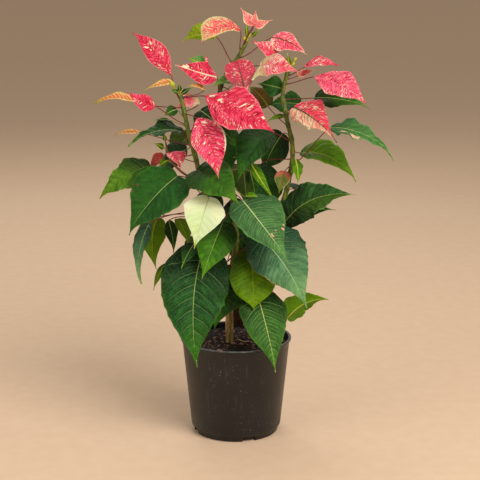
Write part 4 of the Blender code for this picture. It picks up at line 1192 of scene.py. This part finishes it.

# %% [markdown]
# ## Young leaves
#
# The shoot tips and the gaps between the large leaves hold small young leaves. They are too slight to be
# Each still has its own stalk on its stem. The dry leaf behind the trunk is near-black, and partly painted shade.

# %% Young leaf rows
SMALL = {"stalk_radius": 0.5, "puff": 0.05}
SMALL_GREEN = {"stalk_radius": 0.55, "puff": 0.05, "stalk": "stalk_green"}
YOUNG = (
    Leaf("crown_middle", CENTRE, 418, (19, 18, 437), (21, 16, 454), 9, (0, -8, 3), 1, 8, 0, STARRY,
         "bract_crown", 5, SMALL),
    Leaf("crown_right", CENTRE, 419, (19, 18, 437), (38, 12, 444), 10, (0, -8, 3), 1, 8, 1, STARRY,
         "bract_crown", 5, SMALL),
    Leaf("folded_bract", LEFT, 366, (-65, -22, 383), (-93, -34, 376), 9, (0, -8, 6), 2, 20, 0, NARROW,
         "bract_peach", 7, SMALL),
    Leaf("left_sliver", LEFT, 318, (-102, 10, 326), (-131, 20, 322), 8, (0, -6, 8), 2, 15, 0, NARROW,
         "bract_peach", 7, SMALL),
    Leaf("dull_bract", LEFT, 300, (-77, 10, 302), (-93, 20, 286), 14, (-2, -8, 5), 2, 10, 0, OVATE,
         "bract_dull", 6, SMALL),
    Leaf("pale_inner", RIGHT, 292, (51, -12, 288), (45, -22, 266), 17, (0, -8, 5), 2, 8, 0, OVATE,
         "leaf_pale_pink", 6, SMALL),
    Leaf("bright_inner", CENTRE, 300, (15, -26, 300), (41, -46, 262), 12, (3, -8, 5), 4, 14, 3, NARROW,
         "leaf_bright", 7, SMALL_GREEN),
    Leaf("small_inner", CENTRE, 286, (15, -18, 289), (21, -32, 262), 13, (1, -8, 4), 2, 12, 0, OVATE,
         "leaf_middle", 6, SMALL_GREEN),
    Leaf("olive_low_left", LEFT, 215, (-75, -6, 187), (-89, -10, 158), 9, (-3, -8, 4), 3, 12, 0, NARROW,
         "leaf_olive", 7, SMALL),
    Leaf("dark_by_stem", RIGHT, 362, (48, 4, 373), (22, 10, 378), 24, (0, -8, 3), 2, 8, 0, TAILED,
         "leaf_plain", 6, SMALL),
    Leaf("orange_bract", LEFT, 367, (-32, -6, 373), (-50, -16, 378), 9, (0, -6, 8), 2, 12, 0, OVATE,
         "bract_peach", 5, SMALL),
    Leaf("right_sliver", RIGHT, 384, (64, 4, 386), (83, 8, 392), 9, (0, -8, 4), 2, 12, 0, OVATE,
         "bract_crown", 5, SMALL),
    Leaf("yellow_curl", CENTRE, 268, (9, -40, 266), (23, -50, 268), 9, (0, -5, 8), 3, 24, 3, PADDLE,
         "leaf_bright", 4, SMALL_GREEN),
    Leaf("shoot_leaf_high", SHOOT, 312, (-76, -8, 312), (-86, -14, 318), 7, (0, -8, 4), 2, 12, 0, NARROW,
         "leaf_bright", 4, SMALL_GREEN),
    Leaf("shoot_leaf_low", SHOOT, 298, (-72, -9, 299), (-82, -14, 292), 8, (0, -8, 4), 2, 12, 0, NARROW,
         "leaf_bright", 4, SMALL_GREEN),
    Leaf("shoot_tip_leaf", SHOOT, 319, (-74, -6, 320), (-76, -12, 330), 5, (0, -8, 2), 1, 20, 0, NARROW,
         "leaf_mint", 4, SMALL_GREEN),
    Leaf("small_by_left_stem", LEFT, 348, (-61, -22, 354), (-74, -24, 348), 13, (0, -8, 5), 2, 10, 0, OVATE,
         "leaf_middle", 5, SMALL_GREEN),
    Leaf("narrow_by_left_stem", LEFT, 338, (-70, -10, 342), (-86, -8, 341), 5, (0, -6, 8), 1, 12, 0, NARROW,
         "leaf_middle", 4, SMALL_GREEN),
    Leaf("pale_edge_leaf", CENTRE, 368, (0, 10, 381), (-24, 2, 376), 16, (0, -6, 8), 3, 10, 0, OVATE,
         "leaf_mint", 5, SMALL_GREEN),
    Leaf("green_behind_bract", CENTRE, 376, (-34, 18, 396), (-50, 14, 404), 16, (0, -8, 4), 2, 10, 0, OVATE,
         "leaf_mint", 5, SMALL_GREEN),
    Leaf("green_spray", RIGHT, 340, (52, 2, 344), (32, 4, 338), 8, (0, -6, 8), 2, 14, 0, NARROW,
         "leaf_olive", 5, SMALL_GREEN),
    Leaf("centre_tip_tall", CENTRE, 419, (12, 19, 427), (11, 17, 441), 4.4, (0, -8, 1), 1, 24, 0, NARROW,
         "leaf_bright", 4, SMALL_GREEN),
    Leaf("centre_tip_right", CENTRE, 420, (17, 19, 426), (26, 14, 434), 5, (0, -8, 3), 1, 24, 0, NARROW,
         "leaf_bright", 4, SMALL_GREEN),
    Leaf("right_tip_tall", RIGHT, 396, (56, -3, 399), (53, -7, 411), 5, (0, -8, 1), 1, 24, 0, NARROW,
         "leaf_bright", 4, SMALL_GREEN),
    Leaf("right_tip_red", RIGHT, 394, (57, 0, 400), (48, 5, 405), 5, (0, -8, 3), 1, 20, 0, NARROW,
         "bract_dull", 4, SMALL),
    Leaf("left_tip_left", LEFT, 369, (-59, -27, 372), (-68, -31, 376), 5, (0, -8, 3), 1, 20, 0, NARROW,
         "leaf_middle", 4, SMALL_GREEN),
    Leaf("left_tip_tall", LEFT, 370, (-57, -27, 374), (-58, -30, 383), 5, (0, -8, 1), 1, 20, 0, NARROW,
         "leaf_middle", 4, SMALL_GREEN),
    Leaf("fill_left_of_cream", LEFT, 286, (-24, 6, 264), (-37, 2, 219), 32, (0, -9, 4), 4, 8, 0, OVATE,
         "leaf_shade", 8, SMALL),
    Leaf("fill_right_of_cream", CENTRE, 266, (1, 16, 254), (-10, 6, 202), 30, (0, -9, 3), 4, 8, 0, ROUND,
         "leaf_specked", 9, SMALL),
    Leaf("fill_under_bract", CENTRE, 344, (-7, 10, 332), (-8, 4, 276), 26, (0, -9, 3), 4, 8, 0, OVATE,
         "leaf_shade", 9, SMALL),
    Leaf("fill_right_inner", RIGHT, 300, (26, 14, 291), (40, 8, 246), 36, (0, -9, 3), 4, 8, 0, ROUND,
         "leaf_shade", 8, SMALL),
    # Partly painted shade: this near-black dry leaf fills the dark hollow behind the trunk.
    Leaf("fill_behind_trunk", "trunk", 156, (12, 24, 152), (7, 20, 105), 36, (0, -9, 3), 3, 8, 0, ROUND,
         "leaf_dry_and_shade", 7, SMALL),
    Leaf("fill_middle_low", CENTRE, 236, (10, 12, 226), (4, 8, 176), 28, (0, -9, 3), 3, 8, 0, ROUND,
         "leaf_specked", 7, SMALL),
    Leaf("red_stalked_left", RIGHT, 214, (-17, -26, 186), (-24, -20, 168), 9, (0, -9, 3), 1, 8, 0, OVATE,
         "leaf_shade", 4, {"stalk_radius": 0.8}),
    Leaf("red_stalked_low", RIGHT, 209, (-13, -20, 180), (-19, -14, 160), 9, (0, -9, 3), 1, 8, 0, OVATE,
         "leaf_shade", 4, {"stalk_radius": 0.6, "stalk": "stalk_pink"}),
    Leaf("folded_under_right", RIGHT, 244, (52, -12, 230), (104, -34, 252), 26, (0, -7, 7), 4, 8, -4, OVATE,
         "leaf_split", 8, SMALL),
    Leaf("left_tip_right", LEFT, 369, (-55, -27, 371), (-44, -31, 378), 6, (0, -8, 3), 1, 20, 0, NARROW,
         "leaf_deep", 4, SMALL_GREEN),
)
grown = [make_leaf(leaf, 100 + index, replaces=False) for index, leaf in enumerate(YOUNG)]
print("young leaves", len(grown), "faces", sum(len(piece.data.polygons) for piece in grown))

# %% [markdown]
# ## Growing the stems
#
# The routes were needed before the leaves, but the stems are shaped after them, because a stem swells
# wherever a leaf leaves it.

# %% Stem pieces
def make_stem(stem, index):
    """A stem with a swollen node wherever a leaf or a side stem leaves it."""
    route = routes[stem.name]
    share = np.linspace(0, 1, len(route))
    radius = stem.radius_low + (stem.radius_top - stem.radius_low) * share
    heights = [leaf.height for leaf in BRACTS + LEAVES if leaf.stem == stem.name]
    heights += [other.height for other in STEMS if other.parent == stem.name]
    swelling = sum(np.exp(-((route[:, 2] - height) / NODE_REACH) ** 2) for height in heights)
    radius = radius * (1 + NODE_SWELLING * np.minimum(swelling, 1.3))
    radius = radius * (1 + 0.03 * ripple(route[:, 2] / 5, 0 * share, index))
    from_start = np.concatenate(([0], np.cumsum(np.linalg.norm(np.diff(route, axis=0), axis=1))))
    if stem.parent:
        radius = radius * (1 + 0.35 * (1 - rise(from_start, 2, 9)))
    radius = radius * (1 - 0.45 * rise(from_start, from_start[-1] - 6, from_start[-1]))
    shape = Shape(seed=index)
    tube(shape, route, radius, 0, sides=STEM_SIDES)
    piece = shape.make(stem.name + "_with_nodes", (stem.finish,))
    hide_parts(stem.name)
    return piece


grown = [make_stem(stem, index) for index, stem in enumerate(STEMS)]
print("stems", len(grown), "faces", sum(len(piece.data.polygons) for piece in grown))

# %% [markdown]
# ## Buds
#
# At the very top of each shoot sit a few green and yellow buds, no bigger than peppercorns. A bud is a tube
# with a swelling radius, on a short neck that starts inside the stem.

# %% Buds
def make_bud_finish():
    """Waxy yellow-green skin, greener towards the neck."""
    material, graph, shader = new_material("bud_skin")
    leaf = use_group(graph, "Leaf Map")
    speckle = graph.noise(graph.node("TexCoord", output=3), scale=1200.0)
    colour = graph.mix(graph.ramp(leaf["Distance"], 1.0, 7.0), shade(70, 100, 12), shade(186, 190, 50))
    graph.fill(shader["Base Color"], graph.mix(graph.ramp(speckle, 0.45, 0.7, 0.0, 0.4), colour, shade(96, 130, 20)))
    graph.fill(shader["Roughness"], graph.ramp(speckle, 0.3, 0.7, 0.35, 0.5))
    return material


FINISHES["bud"] = make_bud_finish()
BUDS = (
    (CENTRE, (15, 20, 430), 2.0), (CENTRE, (9, 19, 426), 1.7), (CENTRE, (12, 22, 429), 1.6),
    (RIGHT, (61, -2, 401), 1.9), (RIGHT, (63, -4, 406), 1.7), (RIGHT, (57, 1, 403), 1.6),
    (LEFT, (-67, -27, 384), 2.6), (LEFT, (-59, -22, 376), 1.8), (LEFT, (-54, -23, 375), 1.6),
)
BUD_SHARES = np.linspace(0, 1, 15)
for stem_name in (CENTRE, LEFT, RIGHT):
    shape = Shape(seed=len(stem_name))
    for owner, place, radius in BUDS:
        if owner == stem_name:
            start = routes[stem_name][-4]
            end = np.array(place, dtype=float)
            centres = start + (end - start) * BUD_SHARES[:, None]
            neck = np.linalg.norm(end - start)
            body = np.clip((BUD_SHARES * neck - (neck - 3 * radius)) / (3 * radius), 0, 1)
            radii = 0.75 + (radius - 0.75) * np.sin(math.pi * body ** 1.2) ** 0.7
            radii[-1] = 0.25
            tube(shape, centres, radii, 0, sides=12)
    piece = shape.make(stem_name + "_buds", ("bud",))
    print(piece.name, len(piece.data.polygons))

# %% [markdown]
# ## The pot
#
# The pot is turned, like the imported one, from the same profile, but with four times as many sides, a rounded
# lip and softened edges at the foot. The drain slots are cut through the foot with a Boolean, which is then
# applied.

# %% Pot
POT_HEIGHT = 105.0
RIM_RADIUS = 60.0
RIM_HEIGHT = 3.0
RIM_LIP = 1.4
WALL = 1.4
BASE = 1.6
FOOT_RADIUS = 45.8
FOOT_HEIGHT = 8.0
HEEL_RADIUS = 48.8
POT_SIDES = 160
SLOT_WIDTH = 14.0
SLOT_HEIGHT = 5.0
SLOT_REACH = (39.0, 54.0)
SLOT_ANGLES = [-72.0 + 90.0 * slot for slot in range(4)]


def wall_radius(height):
    """The outer radius of the pot's tapered wall at a height."""
    rise_share = (height - FOOT_HEIGHT) / (POT_HEIGHT - FOOT_HEIGHT)
    return HEEL_RADIUS + rise_share * (RIM_RADIUS - RIM_LIP - HEEL_RADIUS)


def arc(centre, radius, start, end, count):
    """Points on an arc in the profile's plane, between two angles in degrees."""
    angles = np.radians(np.linspace(start, end, count))
    return [(centre[0] + radius * math.cos(angle), centre[1] + radius * math.sin(angle)) for angle in angles]


def turned(shape, profile, sides, finish):
    """A closed solid turned about +Z from a profile that starts and ends near the axis."""
    angles = np.linspace(0, 2 * math.pi, sides, endpoint=False)
    rings = [np.stack((radius * np.cos(angles), radius * np.sin(angles), np.full(sides, height)), axis=-1)
             for radius, height in profile]
    last = (len(rings) - 1) * sides
    faces = [list(range(sides))[::-1], list(range(last, last + sides))]
    for low in range(0, last, sides):
        for turn in range(sides):
            after = (turn + 1) % sides
            faces.append([low + turn, low + after, low + sides + after, low + sides + turn])
    shape.add(rings, faces, finish)


under_rim = POT_HEIGHT - RIM_HEIGHT
outside = [(20, 0), *arc((FOOT_RADIUS - 1.0, 1.0), 1.0, -90, 0, 5),
           (FOOT_RADIUS + 0.3, FOOT_HEIGHT - 2.2), (FOOT_RADIUS + 0.6, FOOT_HEIGHT - 1.7),
           *arc((HEEL_RADIUS - 1.2, FOOT_HEIGHT), 1.2, -80, 0, 5)]
outside += [(wall_radius(height), height) for height in np.linspace(FOOT_HEIGHT + 1, under_rim - 0.6, 24)]
lip = [(wall_radius(under_rim) + 0.3, under_rim - 0.1), (RIM_RADIUS - 0.8, under_rim + 0.15),
       *arc((RIM_RADIUS - 0.8, under_rim + 0.95), 0.8, -90, 0, 5),
       *arc((RIM_RADIUS - 1.0, POT_HEIGHT - 1.0), 1.0, 0, 90, 6),
       (wall_radius(POT_HEIGHT) - WALL + 0.8, POT_HEIGHT)]
inner = [(wall_radius(height) - WALL, height) for height in np.linspace(POT_HEIGHT - 0.6, FOOT_HEIGHT, 12)]
inside = [*inner, (FOOT_RADIUS - WALL, BASE), (20, BASE)]
pot_shape = Shape()
turned(pot_shape, outside + lip + inside, POT_SIDES, 0)
pot = pot_shape.make("pot_moulded", ("plastic",), sharp=40)
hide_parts("pot")
print("pot", [round(value / MM, 1) for value in pot.dimensions])

# %% Drain slots
cutters = []
for angle in SLOT_ANGLES:
    outward = np.array((math.cos(math.radians(angle)), math.sin(math.radians(angle)), 0))
    along = np.array((-outward[1], outward[0], 0))
    corners = []
    for radius in SLOT_REACH:
        for side, height in ((-1, -1.0), (1, -1.0), (1, SLOT_HEIGHT), (-1, SLOT_HEIGHT)):
            corners.append((outward * radius + along * side * SLOT_WIDTH / 2 + (0, 0, height)) * MM)
    block = bpy.data.meshes.new("slot_cutter")
    block.from_pydata([tuple(corner) for corner in corners], [],
                      [(0, 3, 2, 1), (4, 5, 6, 7), (0, 1, 5, 4), (1, 2, 6, 5), (2, 3, 7, 6), (3, 0, 4, 7)])
    cutter = bpy.data.objects.new("slot_cutter", block)
    bpy.context.scene.collection.objects.link(cutter)
    cutting = pot.modifiers.new("slot", "BOOLEAN")
    cutting.operation = "DIFFERENCE"
    cutting.solver = "EXACT"
    cutting.object = cutter
    cutters.append(cutter)
bpy.context.view_layer.update()
cut_mesh = bpy.data.meshes.new_from_object(pot.evaluated_get(bpy.context.evaluated_depsgraph_get()))
pot.modifiers.clear()
pot.data = cut_mesh
for cutter in cutters:
    bpy.data.objects.remove(cutter, do_unlink=True)
print("pot faces after the slots", len(pot.data.polygons))

# %% [markdown]
# ## The soil
#
# Potting mix is crumbs of peat with flat bits of bark. Its top is a round grid whose points are lifted by two
# sizes of noise, and a few hundred chips are strewn over it and half sunk. All of it is one mesh.

# %% Soil
GAP = 0.3
SOIL_EDGE = 96.5
SOIL_RINGS = 54
SOIL_SECTORS = 180
CHIP_COUNT = 620


def crumb_height(x, y):
    """How far the crumbs stand above the even surface, in mm."""
    coarse = noise.noise(Vector((x * 0.22, y * 0.22, 3.0)))
    middle = noise.noise(Vector((x * 0.55, y * 0.55, 11.0)))
    fine = noise.noise(Vector((x * 1.3, y * 1.3, 23.0)))
    return 1.5 * coarse + 1.3 * abs(middle) + 0.7 * fine


def soil_height(x, y):
    """The height of the soil's surface at a place."""
    far = math.hypot(x, y) / (wall_radius(SOIL_EDGE) - WALL)
    mound = SOIL_EDGE + (SOIL_TOP - SOIL_EDGE) * (1 - rise(far, 0.4, 1.0))
    heap = 3.0 * rise(y, 5, 40) * (1 - rise(far, 0.9, 1.0))
    return mound + heap + crumb_height(x, y) * (1 - rise(far, 0.97, 1.0)) - 0.5


soil_shape = Shape()
soil_reach = wall_radius(SOIL_EDGE) - WALL - GAP
profile = [(20, BASE + GAP), (FOOT_RADIUS - WALL - GAP, BASE + GAP),
           (wall_radius(FOOT_HEIGHT) - WALL - GAP, FOOT_HEIGHT), (soil_reach, SOIL_EDGE - 0.5)]
profile += [(soil_reach * (1 - ring / SOIL_RINGS), SOIL_EDGE) for ring in range(1, SOIL_RINGS)]
turned(soil_shape, profile, SOIL_SECTORS, 0)
surface = soil_shape.points[0]
for point in surface[4 * SOIL_SECTORS:]:
    point[2] = soil_height(point[0], point[1])

dice = np.random.default_rng(7)
CHIP = np.array([(-1, -0.6, -0.4), (0.9, -0.8, -0.4), (1.1, 0.5, -0.4), (-0.8, 0.8, -0.4),
                 (-0.8, -0.5, 0.4), (0.7, -0.6, 0.3), (0.9, 0.4, 0.4), (-0.6, 0.6, 0.3)])
CHIP_FACES = [(0, 3, 2, 1), (4, 5, 6, 7), (0, 1, 5, 4), (1, 2, 6, 5), (2, 3, 7, 6), (3, 0, 4, 7)]
for chip in range(CHIP_COUNT):
    far = (soil_reach - 3) * math.sqrt(dice.random())
    angle = dice.random() * 2 * math.pi
    x, y = far * math.cos(angle), far * math.sin(angle)
    long = 0.7 + 2.6 * dice.random() ** 2.5
    scale = np.array((long, long * dice.uniform(0.25, 0.6), long * dice.uniform(0.2, 0.5)))
    turn = Matrix.Rotation(dice.random() * 2 * math.pi, 3, "Z") @ Matrix.Rotation(dice.normal(0, 0.45), 3, "X")
    corners = (CHIP + dice.normal(0, 0.12, CHIP.shape)) * scale @ np.array(turn).T
    soil_shape.add(corners + (x, y, soil_height(x, y) + 0.15 * long), CHIP_FACES, 1 if chip % 5 < 3 else 0)

fibre = ((1, 2), (5, -1), (9, -4), (14, -5))
fibre_route = smooth_route([(x, y, soil_height(x, y) + 1.6) for x, y in fibre])
tube(soil_shape, fibre_route, np.full(len(fibre_route), 0.45), 2, sides=6)
soil = soil_shape.make("soil_loose", ("peat", "chips", "root"), sharp=30)
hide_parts("soil")
print("soil faces", len(soil.data.polygons))
